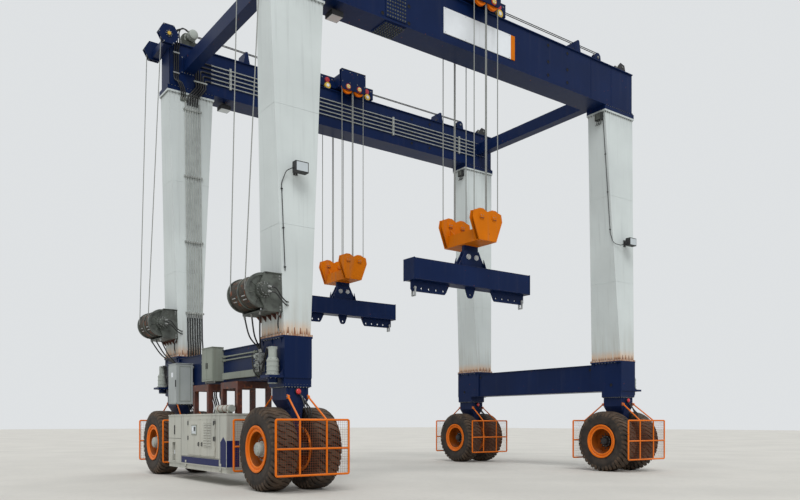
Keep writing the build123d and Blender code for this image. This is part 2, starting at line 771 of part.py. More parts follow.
# Trolleys: end boxes on rail wheels, a bridge over the girder and sheave housings at both sides
for name, side in SIDES:
    x = MID_X + TROLLEY_X
    y = side * LEG_Y
    with BuildPart() as trolley:
        half = TROLLEY_W / 2
        for way in (-1, 1):
            inner = x + way * (TROLLEY_HALF - TROLLEY_END_LEN)
            outer = x + way * TROLLEY_HALF
            low_x, high_x = min(inner, outer), max(inner, outer)
            top = TROLLEY_FLOOR_Z + TROLLEY_END_H
            block(low_x, high_x, y - half, y + half, TROLLEY_FLOOR_Z, top)
            cap_x = (low_x + high_x) / 2
            rod("y", (cap_x, y, BEARING_CAP_Z), BEARING_CAP_R, 2 * (half + BEARING_CAP_T))
        deck = TROLLEY_FLOOR_Z + BRIDGE_H
        spine = x + TROLLEY_HALF - TROLLEY_END_LEN
        spine_low = x - TROLLEY_HALF + TROLLEY_END_LEN
        spine_top = TROLLEY_FLOOR_Z + TROLLEY_END_H * 0.6
        block(spine_low, spine, y - half, y + half, TROLLEY_FLOOR_Z, spine_top)
        housing_in = SHEAVE_PLANE_Y - CHEEK_GAP / 2 - CHEEK_T
        block(x - BRIDGE_HALF_X, x + BRIDGE_HALF_X, y - housing_in, y + housing_in, TROLLEY_FLOOR_Z, deck)
        for hand in (-1, 1):
            plane = y + hand * SHEAVE_PLANE_Y
            for cheek in (-1, 1):
                near = plane + cheek * CHEEK_GAP / 2
                far = plane + cheek * (CHEEK_GAP / 2 + CHEEK_T)
                low_y, high_y = min(near, far), max(near, far)
                wide = HOUSING_HALF_X
                cut = HOUSING_CHAMFER
                housing = [
                    (x - wide, HOUSING_TOP_Z),
                    (x + wide, HOUSING_TOP_Z),
                    (x + wide, HOUSING_LOW_Z + cut),
                    (x + wide - cut, HOUSING_LOW_Z),
                    (x - wide + cut, HOUSING_LOW_Z),
                    (x - wide, HOUSING_LOW_Z + cut),
                ]
                plate_y(housing, low_y, high_y)
                for offset in (-SHEAVE_X, SHEAVE_X):
                    middle = (x + offset, (low_y + high_y) / 2, SHEAVE_Z)
                    rod("y", middle, PIN_R + RUN_CLEAR, CHEEK_T, Mode.SUBTRACT)
            roof_y = CHEEK_GAP / 2 + CHEEK_T
            roof_z = HOUSING_TOP_Z - CHEEK_T
            wide = HOUSING_HALF_X
            block(x - wide, x + wide, plane - roof_y, plane + roof_y, roof_z, HOUSING_TOP_Z)
    trolley.part.label = "trolley_" + name
    export_step(trolley.part, "parts/trolley_" + name + ".step")
    with BuildPart() as running_gear:
        for hand in (-1, 1):
            sheave_pair(x, y + hand * SHEAVE_PLANE_Y, SHEAVE_Z, hand)
        wheel_z = GIRDER_TOP_Z + TROLLEY_WHEEL_D / 2 + RUN_CLEAR
        for way in (-1, 1):
            for hand in (-1, 1):
                wheel_x = x + way * (TROLLEY_HALF - TROLLEY_END_LEN / 2)
                wheel_y = y + hand * (TROLLEY_W / 2 + RUN_CLEAR + TROLLEY_WHEEL_W / 2)
                rod("y", (wheel_x, wheel_y, wheel_z), TROLLEY_WHEEL_D / 2, TROLLEY_WHEEL_W)
    running_gear.part.label = "trolley_sheaves_" + name
    export_step(running_gear.part, "parts/trolley_sheaves_" + name + ".step")

# Lower blocks: two sheave housings with humped cheeks, joined by a low box with a tongue below
for name, side in SIDES:
    x = MID_X + TROLLEY_X
    y = side * LEG_Y
    top = BLOCK_PIN_Z + BLOCK_TOP_RISE
    cheek_shape = [
        (x - BLOCK_HALF_X, BLOCK_PIN_Z - BLOCK_FLANK_DROP),
        (x - BLOCK_HALF_X + BLOCK_SHOULDER_IN, top - BLOCK_SHOULDER_DROP),
        (x - SHEAVE_X - BLOCK_EAR, top - BLOCK_SHOULDER_DROP / 2),
        (x - SHEAVE_X - BLOCK_EAR / 2, top),
        (x - SHEAVE_X + BLOCK_EAR / 2, top),
        (x - SHEAVE_X + BLOCK_EAR, top - BLOCK_DIP / 2),
        (x, top - BLOCK_DIP),
        (x + SHEAVE_X - BLOCK_EAR, top - BLOCK_DIP / 2),
        (x + SHEAVE_X - BLOCK_EAR / 2, top),
        (x + SHEAVE_X + BLOCK_EAR / 2, top),
        (x + SHEAVE_X + BLOCK_EAR, top - BLOCK_SHOULDER_DROP / 2),
        (x + BLOCK_HALF_X - BLOCK_SHOULDER_IN, top - BLOCK_SHOULDER_DROP),
        (x + BLOCK_HALF_X, BLOCK_PIN_Z - BLOCK_FLANK_DROP),
        (x + BLOCK_FOOT_HALF_X, BLOCK_LOW_Z),
        (x - BLOCK_FOOT_HALF_X, BLOCK_LOW_Z),
    ]
    with BuildPart() as lower_block:
        inner = SHEAVE_PLANE_Y - CHEEK_GAP / 2 - CHEEK_T
        for hand in (-1, 1):
            plane = y + hand * SHEAVE_PLANE_Y
            for cheek in (-1, 1):
                near = plane + cheek * CHEEK_GAP / 2
                far = plane + cheek * (CHEEK_GAP / 2 + CHEEK_T)
                low_y, high_y = min(near, far), max(near, far)
                plate_y(cheek_shape, low_y, high_y)
                for offset in (-SHEAVE_X, SHEAVE_X):
                    middle = (x + offset, (low_y + high_y) / 2, BLOCK_PIN_Z)
                    rod("y", middle, PIN_R + RUN_CLEAR, CHEEK_T, Mode.SUBTRACT)
            foot = BLOCK_FOOT_HALF_X
            floor_z = BLOCK_LOW_Z + CHEEK_T
            gap = CHEEK_GAP / 2
            block(x - foot, x + foot, plane - gap, plane + gap, BLOCK_LOW_Z, floor_z)
        foot = BLOCK_FOOT_HALF_X
        box_top = BLOCK_LOW_Z + BLOCK_BOX_H
        block(x - foot, x + foot, y - inner, y + inner, BLOCK_LOW_Z, box_top)
        tongue = BLOCK_TONGUE_X / 2
        half = BLOCK_TONGUE_T / 2
        tongue_low = CLEVIS_PIN_Z - 90
        block(x - tongue, x + tongue, y - half, y + half, tongue_low, BLOCK_LOW_Z)
        for offset in (-CLEVIS_PIN_X, CLEVIS_PIN_X):
            rod("y", (x + offset, y, CLEVIS_PIN_Z), CLEVIS_PIN_R + RUN_CLEAR, BLOCK_TONGUE_T, Mode.SUBTRACT)
        for hand in (-1, 1):
            sheave_pair(x, y + hand * SHEAVE_PLANE_Y, BLOCK_PIN_Z, hand)
    lower_block.part.label = "lower_block_" + name
    export_step(lower_block.part, "parts/lower_block_" + name + ".step")

# Lifting beams: a box along X with a clevis on top, five-hole lug plates below and a centre lug
for name, side in SIDES:
    x = MID_X + TROLLEY_X
    y = side * LEG_Y
    beam_top = BEAM_LOW_Z + BEAM_H
    hole_z = BEAM_LOW_Z - LUG_HOLE_DROP
    with BuildPart() as lifting_beam:
        half = BEAM_W / 2
        block(x - BEAM_HALF_X, x + BEAM_HALF_X, y - half, y + half, BEAM_LOW_Z, beam_top)
        cheek_in = BLOCK_TONGUE_T / 2 + CLEVIS_GAP_CLEAR
        for hand in (-1, 1):
            near = y + hand * cheek_in
            far = y + hand * (cheek_in + CLEVIS_CHEEK_T)
            low_y, high_y = min(near, far), max(near, far)
            cheek = [
                (x - CLEVIS_BASE_X / 2, beam_top),
                (x + CLEVIS_BASE_X / 2, beam_top),
                (x + CLEVIS_TOP_X / 2, beam_top + CLEVIS_H * 0.7),
                (x + CLEVIS_TOP_X / 2 - 60, beam_top + CLEVIS_H),
                (x - CLEVIS_TOP_X / 2 + 60, beam_top + CLEVIS_H),
                (x - CLEVIS_TOP_X / 2, beam_top + CLEVIS_H * 0.7),
            ]
            plate_y(cheek, low_y, high_y)
            for offset in (-CLEVIS_PIN_X, CLEVIS_PIN_X):
                middle = (x + offset, (low_y + high_y) / 2, CLEVIS_PIN_Z)
                rod("y", middle, CLEVIS_PIN_R + RUN_CLEAR, CLEVIS_CHEEK_T, Mode.SUBTRACT)
        lug = LUG_T / 2
        last = LUG_FIRST_X + (LUG_COUNT - 1) * LUG_PITCH
        for way in (-1, 1):
            shape = [
                (x + way * (LUG_FIRST_X - 190), BEAM_LOW_Z),
                (x + way * (LUG_FIRST_X - LUG_EDGE), hole_z - LUG_EDGE * 0.4),
                (x + way * (LUG_FIRST_X - LUG_EDGE * 0.5), hole_z - LUG_EDGE),
                (x + way * (last + LUG_EDGE * 0.5), hole_z - LUG_EDGE),
                (x + way * (last + LUG_EDGE), hole_z - LUG_EDGE * 0.4),
                (x + way * (last + LUG_EDGE), BEAM_LOW_Z),
            ]
            plate_y(shape, y - lug, y + lug)
            for step in range(LUG_COUNT):
                hole_x = x + way * (LUG_FIRST_X + step * LUG_PITCH)
                rod("y", (hole_x, y, hole_z), LUG_HOLE_R, LUG_T, Mode.SUBTRACT)
        wide = CENTRE_LUG_X / 2
        centre = [
            (x - wide, BEAM_LOW_Z),
            (x - LUG_EDGE, hole_z - LUG_EDGE * 0.5),
            (x - LUG_EDGE * 0.5, hole_z - LUG_EDGE),
            (x + LUG_EDGE * 0.5, hole_z - LUG_EDGE),
            (x + LUG_EDGE, hole_z - LUG_EDGE * 0.5),
            (x + wide, BEAM_LOW_Z),
        ]
        plate_y(centre, y - lug, y + lug)
        rod("y", (x, y, hole_z), LUG_HOLE_R, LUG_T, Mode.SUBTRACT)
    lifting_beam.part.label = "lifting_beam_" + name
    export_step(lifting_beam.part, "parts/lifting_beam_" + name + ".step")
    with BuildPart() as beam_pins:
        reach = cheek_in + CLEVIS_CHEEK_T
        for offset in (-CLEVIS_PIN_X, CLEVIS_PIN_X):
            rod("y", (x + offset, y, CLEVIS_PIN_Z), CLEVIS_PIN_R, 2 * reach)
            for hand in (-1, 1):
                cap_y = y + hand * (reach + CAP_T / 2)
                rod("y", (x + offset, cap_y, CLEVIS_PIN_Z), CLEVIS_PIN_R * 1.4, CAP_T)
        for way in (-1, 1):
            hole_x = x + way * last
            arm_y = lug + SHACKLE_GAP + SHACKLE_R
            low = hole_z - SHACKLE_DROP
            rod("y", (hole_x, y, hole_z), LUG_HOLE_R - SHACKLE_PIN_CLEAR, 2 * arm_y + 2 * SHACKLE_R)
            for hand in (-1, 1):
                block(
                    hole_x - SHACKLE_R,
                    hole_x + SHACKLE_R,
                    y + hand * arm_y - SHACKLE_R,
                    y + hand * arm_y + SHACKLE_R,
                    low,
                    hole_z + LUG_HOLE_R,
                )
            rod("y", (hole_x, y, low), SHACKLE_R, 2 * arm_y + 2 * SHACKLE_R)
    beam_pins.part.label = "beam_pins_" + name
    export_step(beam_pins.part, "parts/beam_pins_" + name + ".step")

# Falls: eight rope parts between the trolley's sheaves and the lower block's
for name, side in SIDES:
    x = MID_X + TROLLEY_X
    y = side * LEG_Y
    with BuildPart() as falls:
        for hand in (-1, 1):
            for pulley in (-1, 1):
                for edge in (-1, 1):
                    rope_x = x + pulley * SHEAVE_X + edge * SHEAVE_ROPE_R
                    start = (rope_x, y + hand * SHEAVE_PLANE_Y, BLOCK_PIN_Z)
                    finish = (rope_x, y + hand * SHEAVE_PLANE_Y, SHEAVE_Z)
                    bar(start, finish, 2 * ROPE_R, 8)
    falls.part.label = "falls_" + name
    export_step(falls.part, "parts/falls_" + name + ".step")

# Winch frames: two end plates on a shelf, with their back edges along the leg's outer face
with BuildPart() as winch_frames:
    for name, side in SIDES:
        axis_x = LEFT_X - WINCH_OUT
        middle = side * LEG_Y + WINCH_SHIFT_Y
        low = WINCH_Z - WINCH_FLANGE_R - WINCH_FLOOR_GAP
        high = WINCH_Z + WINCH_FLANGE_R
        for hand in (-1, 1):
            inner = middle + hand * WINCH_HALF_LEN
            outer = middle + hand * (WINCH_HALF_LEN + WINCH_PLATE_T)
            low_y, high_y = min(inner, outer), max(inner, outer)
            plate = [
                (LEFT_X - leg_outer(low), low),
                (LEFT_X - leg_outer(high), high),
                (axis_x + 20, high),
                (axis_x - 110, WINCH_Z + 60),
                (axis_x - 110, WINCH_Z - 60),
                (axis_x + 20, low),
            ]
            with BuildSketch(Plane.XZ.offset(-high_y)) as cheek:
                Polygon(*plate, align=None)
                with Locations((axis_x, WINCH_Z)):
                    Circle(WINCH_MOTOR_R + 40)
            extrude(cheek.sketch, amount=high_y - low_y)
            place = (axis_x, (low_y + high_y) / 2, WINCH_Z)
            rod("y", place, WINCH_SHAFT_R + RUN_CLEAR, WINCH_PLATE_T, Mode.SUBTRACT)
            motor_y = outer + hand * (WINCH_PLATE_GAP + WINCH_MOTOR_LEN) / 2
            rod("y", (axis_x, motor_y, WINCH_Z), WINCH_MOTOR_R, WINCH_MOTOR_LEN + WINCH_PLATE_GAP)
            hollow_y = outer + hand * WINCH_PLATE_GAP / 2
            rod("y", (axis_x, hollow_y, WINCH_Z), WINCH_SHAFT_R + RUN_CLEAR, WINCH_PLATE_GAP, Mode.SUBTRACT)
        end = WINCH_HALF_LEN + WINCH_PLATE_T
        shelf = [
            (LEFT_X - leg_outer(low), low),
            (axis_x + 20, low),
            (axis_x + 20, low - WINCH_SHELF_T),
            (LEFT_X - leg_outer(low - WINCH_SHELF_T), low - WINCH_SHELF_T),
        ]
        plate_y(shelf, middle - end, middle + end)
winch_frames.part.label = "winch_frames"
export_step(winch_frames.part, "parts/winch_frames.step")

# Winch drums: a barrel between two flanges, on a shaft through the end plates
for name, side in SIDES:
    axis_x = LEFT_X - WINCH_OUT
    middle = side * LEG_Y + WINCH_SHIFT_Y
    with BuildPart() as winch_drum:
        half = WINCH_HALF_LEN - WINCH_PLATE_GAP
        rod("y", (axis_x, middle, WINCH_Z), DRUM_R, 2 * half)
        rod("y", (axis_x, middle, WINCH_Z), WOUND_DIVIDER_R, WOUND_DIVIDER_T)
        for hand in (-1, 1):
            wound = half - WINCH_FLANGE_T - WOUND_DIVIDER_T / 2
            wound_y = middle + hand * (WOUND_DIVIDER_T / 2 + wound / 2)
            rod("y", (axis_x, wound_y, WINCH_Z), WOUND_R, wound)
            flange_y = middle + hand * (half - WINCH_FLANGE_T / 2)
            rod("y", (axis_x, flange_y, WINCH_Z), WINCH_FLANGE_R, WINCH_FLANGE_T)
            dish_y = middle + hand * (half - WINCH_RIM_DEPTH / 2)
            rod("y", (axis_x, dish_y, WINCH_Z), WINCH_FLANGE_R - WINCH_RIM, WINCH_RIM_DEPTH, Mode.SUBTRACT)
        rod("y", (axis_x, middle, WINCH_Z), WINCH_SHAFT_R, 2 * (WINCH_HALF_LEN + WINCH_PLATE_T))
    winch_drum.part.label = "winch_drum_" + name
    export_step(winch_drum.part, "parts/winch_drum_" + name + ".step")

# Head sheaves: a bracket across each girder's left end with a sheave in cheeks at both sides
with BuildPart() as head_sheaves:
    end_x = MID_X - GIRDER_LEN / 2
    x = end_x - HEAD_SHEAVE_OUT - 60
    for name, side in SIDES:
        y = side * LEG_Y
        inner = SHEAVE_PLANE_Y - CHEEK_GAP / 2 - CHEEK_T
        block(end_x - 200, end_x, y - inner, y + inner, HEAD_SHEAVE_Z - 210, HEAD_SHEAVE_Z - 30)
        for hand in (-1, 1):
            plane = y + hand * SHEAVE_PLANE_Y
            for cheek in (-1, 1):
                near = plane + cheek * CHEEK_GAP / 2
                far = plane + cheek * (CHEEK_GAP / 2 + CHEEK_T)
                low_y, high_y = min(near, far), max(near, far)
                shape = []
                for step in range(6):
                    angle = math.radians(60 * step)
                    px = x + HEAD_PLATE_R * math.cos(angle)
                    pz = HEAD_SHEAVE_Z + HEAD_PLATE_R * math.sin(angle)
                    shape.append((px, pz))
                plate_y(shape, low_y, high_y)
            sheave(x, plane, HEAD_SHEAVE_Z)
            rod("y", (x, plane, HEAD_SHEAVE_Z), PIN_R, CHEEK_GAP + 2 * CHEEK_T)
            for step in range(6):
                angle = math.radians(60 * step)
                px = x + (HEAD_PLATE_R - SPACER_IN) * math.cos(angle)
                pz = HEAD_SHEAVE_Z + (HEAD_PLATE_R - SPACER_IN) * math.sin(angle)
                rod("y", (px, plane, pz), SPACER_R, CHEEK_GAP)
            cap_y = plane + hand * (CHEEK_GAP / 2 + CHEEK_T + CAP_T / 2)
            rod("y", (x, cap_y, HEAD_SHEAVE_Z), CAP_R, CAP_T)
head_sheaves.part.label = "head_sheaves"
export_step(head_sheaves.part, "parts/head_sheaves.step")

# Winch ropes: two lines from each drum up to the head sheaves
with BuildPart() as winch_ropes:
    for name, side in SIDES:
        axis_x = LEFT_X - WINCH_OUT
        for hand, drum_y in zip((-1, 1), DRUM_ROPE_Y):
            low_x = axis_x - WOUND_R - ROPE_CLEAR - ROPE_R
            high_x = x - SHEAVE_CORE_R - ROPE_CLEAR - ROPE_R
            start = (low_x, side * LEG_Y + drum_y, WINCH_Z)
            finish = (high_x, side * LEG_Y + hand * SHEAVE_PLANE_Y, HEAD_SHEAVE_Z)
            bar(start, finish, 2 * ROPE_R, 8)
winch_ropes.part.label = "winch_ropes"
export_step(winch_ropes.part, "parts/winch_ropes.step")

# Return sheaves: a small forked bracket on each girder's top near the right end
with BuildPart() as return_sheaves:
    for name, side in SIDES:
        y = side * LEG_Y
        x = MID_X + TRACK / 2 - RETURN_IN
        for hand in (-1, 1):
            cheek_y = y + hand * 60
            half = RETURN_HALF_X
            top = GIRDER_TOP_Z + RETURN_H
            shape = [
                (x - half * 1.5, GIRDER_TOP_Z),
                (x + half * 1.5, GIRDER_TOP_Z),
                (x + half, top - 60),
                (x + half * 0.4, top),
                (x - half * 0.4, top),
                (x - half, top - 60),
            ]
            plate_y(shape, cheek_y - 10, cheek_y + 10)
        rod("y", (x, y, GIRDER_TOP_Z + RETURN_H - 130), RETURN_R, 100)
return_sheaves.part.label = "return_sheaves"
export_step(return_sheaves.part, "parts/return_sheaves.step")

# Traction drives: a base, a rope pulley and a motor across each girder's left end
with BuildPart() as traction_drives:
    for name, side in SIDES:
        y = side * LEG_Y
        x = LEFT_X + DRIVE_IN
        deck = GIRDER_TOP_Z + DRIVE_BASE_H
        block(x - 250, x + 250, y - 230, y + 230, GIRDER_TOP_Z, deck)
        pulley_z = deck + DRIVE_PULLEY_R * 0.6
        for hand in (-1, 1):
            block(x - 90, x + 90, y + hand * 120 - 20, y + hand * 120 + 20, deck, pulley_z + 120)
        rod("y", (x, y, pulley_z), DRIVE_PULLEY_R, 60)
        rod("y", (x, y, pulley_z), 40, 240)
        rod("y", (x, y - 140 - DRIVE_LEN / 4, pulley_z), DRIVE_MOTOR_R, DRIVE_LEN / 2)
traction_drives.part.label = "traction_drives"
export_step(traction_drives.part, "parts/traction_drives.step")

# Generating set: canopy with two bays behind its doors, engine in the bays, skid and hangers
canopy_x0 = LEFT_X - CANOPY_OUT
canopy_x1 = canopy_x0 + CANOPY_W
bay_table = (
    (DOOR_MEET_Y - DOOR_W, DOOR_MEET_Y - DOOR_GAP),
    (DOOR_MEET_Y + DOOR_GAP, DOOR_MEET_Y + DOOR_W),
)
with BuildPart() as genset_canopy:
    half = CANOPY_HALF_Y
    block(canopy_x0, canopy_x1, -half, half, CANOPY_LOW_Z, CANOPY_TOP_Z)
    for y0, y1 in bay_table:
        lip = 40
        z0 = DOOR_LOW_Z + lip
        z1 = DOOR_LOW_Z + DOOR_H - lip
        block(canopy_x0, canopy_x0 + BAY_DEPTH, y0 + lip, y1 - lip, z0, z1, Mode.SUBTRACT)
    block(canopy_x0, canopy_x0 + RECESS_DEPTH, *RECESS_Y, *RECESS_Z, Mode.SUBTRACT)
    low_x = canopy_x0 + GRILLE_IN_X[0]
    high_x = canopy_x1 - GRILLE_IN_X[1]
    for side in (-1, 1):
        face = side * half
        floor_y = face - side * GRILLE_DEPTH
        block(low_x, high_x, min(face, floor_y), max(face, floor_y), *GRILLE_Z, Mode.SUBTRACT)
        pitch = (GRILLE_Z[1] - GRILLE_Z[0]) / GRILLE_SLATS
        for step in range(GRILLE_SLATS):
            z = GRILLE_Z[0] + (step + 0.2) * pitch
            slat = [
                (face, z),
                (floor_y, z + pitch * 0.5),
                (floor_y, z + pitch * 0.5 + SLAT_T),
                (face, z + SLAT_T),
            ]
            plate_x(slat, low_x, high_x)
    muffler_x = canopy_x0 + MUFFLER_IN
    muffler_y = -half + 60 + MUFFLER_LEN / 2
    saddle = CANOPY_TOP_Z + 40
    for step in (-0.35, 0.35):
        mid = muffler_y + step * MUFFLER_LEN
        block(muffler_x - 60, muffler_x + 60, mid - 25, mid + 25, CANOPY_TOP_Z, saddle + 40)
    rod("y", (muffler_x, muffler_y, saddle + MUFFLER_R), MUFFLER_R, MUFFLER_LEN)
    tail_y = muffler_y + MUFFLER_LEN / 2
    elbow = [
        (muffler_x, tail_y - 20, saddle + MUFFLER_R),
        (muffler_x, tail_y + 3 * EXHAUST_R, saddle + MUFFLER_R),
        (muffler_x, tail_y + 3 * EXHAUST_R, CANOPY_TOP_Z),
    ]
    bent_tube(elbow, 2 * EXHAUST_R, EXHAUST_R)
genset_canopy.part.label = "genset_canopy"
export_step(genset_canopy.part, "parts/genset_canopy.step")

with BuildPart() as engine:
    back = canopy_x0 + BAY_DEPTH
    for y0, y1 in bay_table:
        lip = 40
        z0 = DOOR_LOW_Z + lip
        mid = (y0 + y1) / 2
        block(back - ENGINE_DEPTH, back, y0 + lip + 60, y1 - lip - 60, z0, z0 + 420)
        rod("x", (back - ENGINE_DEPTH / 2, mid, z0 + 520), 100, ENGINE_DEPTH)
engine.part.label = "engine"
export_step(engine.part, "parts/engine.step")

door_table = (
    ("near", DOOR_MEET_Y - DOOR_W, DOOR_MEET_Y - DOOR_GAP / 2),
    ("far", DOOR_MEET_Y + DOOR_GAP / 2, DOOR_MEET_Y + DOOR_W),
)
for name, y0, y1 in door_table:
    with BuildPart() as canopy_door:
        face = canopy_x0 - DOOR_FACE_CLEAR
        block(face - DOOR_T, face, y0, y1, DOOR_LOW_Z, DOOR_LOW_Z + DOOR_H)
        if name == "near":
            pitch = (LOUVRE_Z[1] - LOUVRE_Z[0]) / LOUVRE_SLOTS
            for step in range(LOUVRE_SLOTS):
                z = LOUVRE_Z[0] + (step + 0.5) * pitch
                slot_z = (z - LOUVRE_SLOT_H / 2, z + LOUVRE_SLOT_H / 2)
                block(face - DOOR_T, face, *LOUVRE_Y, *slot_z, Mode.SUBTRACT)
        hinge_y = y0 if name == "near" else y1
        for z in (DOOR_LOW_Z + DOOR_H * 0.2, DOOR_LOW_Z + DOOR_H * 0.8):
            rod("z", (face - DOOR_T / 2, hinge_y, z), DOOR_T / 2, 90)
    canopy_door.part.label = "canopy_door_" + name
    export_step(canopy_door.part, "parts/canopy_door_" + name + ".step")

with BuildPart() as genset_skid:
    half = CANOPY_HALF_Y - SKID_IN
    x0 = canopy_x0 + SKID_IN
    x1 = canopy_x1 - SKID_IN
    low_z = CANOPY_LOW_Z - SKID_H
    block(x0, x1, -half, half, low_z, CANOPY_LOW_Z)
    for y0, y1 in ((-half, 0), (0, half)):
        y_in, y_out = y0 + SKID_BEAM, y1 - SKID_BEAM
        block(x0 + SKID_BEAM, x1 - SKID_BEAM, y_in, y_out, low_z, CANOPY_LOW_Z, Mode.SUBTRACT)
genset_skid.part.label = "genset_skid"
export_step(genset_skid.part, "parts/genset_skid.step")

# Hangers: channels under the left saddle beam with posts down to the canopy's roof
with BuildPart() as hangers:
    out_x = LEFT_X - HANGER_OUT
    in_x = LEFT_X + SADDLE_X / 2
    for y0, y1 in HANGER_BAYS:
        for y in (y0 + HANGER_POST / 2, y1 - HANGER_POST / 2):
            half = HANGER_POST / 2
            top = BASE_BOX_LOW_Z
            block(out_x - half, in_x, y - half, y + half, top - HANGER_BEAM, top)
            for x in (out_x, in_x - half):
                block(x - half, x + half, y - half, y + half, CANOPY_TOP_Z, top - HANGER_BEAM)
        block(out_x - HANGER_POST / 2, out_x + HANGER_POST / 2, y0, y1, top - HANGER_BEAM, top)
hangers.part.label = "hangers"
export_step(hangers.part, "parts/hangers.step")

# Electric cabinet with its door, and the valve cabinet, on arms from the saddle beam
with BuildPart() as electric_cabinet:
    x1 = LEFT_X - BASE_BOX_X / 2 - 20
    x0 = x1 - CABINET_X
    y0 = CABINET_NEAR_Y
    y1 = y0 + CABINET_Y
    block(x0, x1, y0, y1, CABINET_LOW_Z, CABINET_LOW_Z + CABINET_Z)
    wall = CABINET_WALL
    back = x1 - CABINET_BACK
    high_z = CABINET_LOW_Z + CABINET_Z - wall
    block(x0, back, y0 + wall, y1 - wall, CABINET_LOW_Z + wall, high_z, Mode.SUBTRACT)
    for step in (0.15, 0.4, 0.68):
        z = CABINET_LOW_Z + CABINET_Z * step
        block(back - 90, back, y0 + 3 * wall, y1 - 3 * wall, z, z + 140)
    for z in (BASE_BOX_LOW_Z + 60, CABINET_LOW_Z + CABINET_Z - 100):
        block(x1, LEFT_X - SADDLE_X / 2, y0 + 80, y1 - 80, z, z + CABINET_ARM)
electric_cabinet.part.label = "electric_cabinet"
export_step(electric_cabinet.part, "parts/electric_cabinet.step")

with BuildPart() as cabinet_door:
    face = x0 - DOOR_FACE_CLEAR
    block(face - CABINET_DOOR_T, face, y0 + 10, y1 - 10, CABINET_LOW_Z + 10, CABINET_LOW_Z + CABINET_Z - 10)
    for step in (0.15, 0.85):
        z = CABINET_LOW_Z + CABINET_Z * step
        rod("z", (face - CABINET_DOOR_T / 2, y1 - 10, z), CABINET_DOOR_T / 2, 60)
cabinet_door.part.label = "cabinet_door"
export_step(cabinet_door.part, "parts/cabinet_door.step")

with BuildPart() as valve_cabinet:
    x1 = LEFT_X - SADDLE_X / 2
    y0 = VALVE_NEAR_Y
    block(x1 - VALVE_X, x1, y0, y0 + VALVE_Y, VALVE_LOW_Z, VALVE_LOW_Z + VALVE_Z)
valve_cabinet.part.label = "valve_cabinet"
export_step(valve_cabinet.part, "parts/valve_cabinet.step")

# Pipes along the far girder, down the far left leg and along the left saddle beam
with BuildPart() as pipes:
    y = LEG_Y - GIRDER_WEB_W / 2 - PIPE_STAND_OFF
    x0 = LEFT_X + GIRDER_PIPE_IN[0]
    x1 = MID_X + TRACK / 2 - GIRDER_PIPE_IN[1]
    for z in GIRDER_PIPE_Z:
        bar((x0, y, z), (x1, y, z), 2 * PIPE_R, 8)
    clamp_low = x0 + PIPE_CLAMP_IN[0]
    clamp_step = (x1 - PIPE_CLAMP_IN[1] - clamp_low) / (PIPE_CLAMPS - 1)
    for step in range(PIPE_CLAMPS):
        x = clamp_low + step * clamp_step
        low_z = GIRDER_PIPE_Z[0] - 60
        high_z = GIRDER_PIPE_Z[-1] + 60
        wall = LEG_Y - GIRDER_WEB_W / 2
        block(x - 30, x + 30, y - PIPE_STAND_OFF, wall, low_z, high_z)
    lip_y = LEG_Y - GIRDER_W / 2 - HOSE_R - HOSE_CLEAR
    leg_top = LEG_PIPE_Z[1]
    leg_y = LEG_Y - leg_side(leg_top) - PIPE_STAND_OFF
    for step, z in enumerate(GIRDER_PIPE_Z):
        x = LEFT_X + LEG_PIPE_IN + ((len(GIRDER_PIPE_Z) - 1) / 2 - step) * LEG_PIPE_PITCH
        drop_x = x + HOSE_SHIFT
        hose = [
            (x0 + 60, y, z),
            (drop_x, y, z),
            (drop_x, y, GIRDER_BOTTOM_Z + 230),
            (drop_x, lip_y, GIRDER_BOTTOM_Z + 90),
            (x, lip_y, LEG_HEAD_Z - 60),
            (x, leg_y, leg_top - 40),
            (x, leg_y, leg_top - 110),
        ]
        bent_tube(hose, [HOSE_BEND, 80, 80, 80, 20], HOSE_R)
    z = GIRDER_PIPE_Z[0] - 90
    reach = len(GIRDER_PIPE_Z) * LEG_PIPE_PITCH / 2 + 20
    middle = LEFT_X + LEG_PIPE_IN + HOSE_SHIFT
    block(middle - reach, middle + reach, y - PIPE_STAND_OFF, LEG_Y - GIRDER_WEB_W / 2, z - 18, z + 18)
    low_z, high_z = LEG_PIPE_Z
    low_y = LEG_Y - leg_side(low_z) - PIPE_STAND_OFF
    high_y = LEG_Y - leg_side(high_z) - PIPE_STAND_OFF
    for step in range(LEG_PIPE_COUNT):
        x = LEFT_X + LEG_PIPE_IN + (step - (LEG_PIPE_COUNT - 1) / 2) * LEG_PIPE_PITCH
        bar((x, low_y, low_z), (x, high_y, high_z), 2 * PIPE_R, 8)
    for z in LEG_CLAMP_Z:
        reach = LEG_PIPE_COUNT * LEG_PIPE_PITCH / 2 + 20
        wall = LEG_Y - leg_side(z - 25)
        middle = LEFT_X + LEG_PIPE_IN
        block(middle - reach, middle + reach, wall - 2 * PIPE_STAND_OFF, wall, z - 25, z + 25)
pipes.part.label = "pipes"
export_step(pipes.part, "parts/pipes.step")

with BuildPart() as saddle_pipes:
    x = LEFT_X - SADDLE_X / 2
    near_run = (SADDLE_PIPE_IN - SADDLE_END_Y, VALVE_NEAR_Y)
    far_run = (VALVE_NEAR_Y + VALVE_Y, CABINET_NEAR_Y - SADDLE_PIPE_GAP)
    for z in SADDLE_PIPE_Z:
        for y0, y1 in (near_run, far_run):
            bar((x - PIPE_STAND_OFF, y0, z), (x - PIPE_STAND_OFF, y1, z), 2 * PIPE_R, 8)
            for y in (y0 + 120, y1 - 120):
                block(x - 2 * PIPE_STAND_OFF, x, y - 20, y + 20, z - 30, z + 30)
    block(x - TRAY_X, x, TRAY_IN - SADDLE_END_Y, VALVE_NEAR_Y - TRAY_GAP, TRAY_Z, TRAY_Z + TRAY_H)
saddle_pipes.part.label = "saddle_pipes"
export_step(saddle_pipes.part, "parts/saddle_pipes.step")

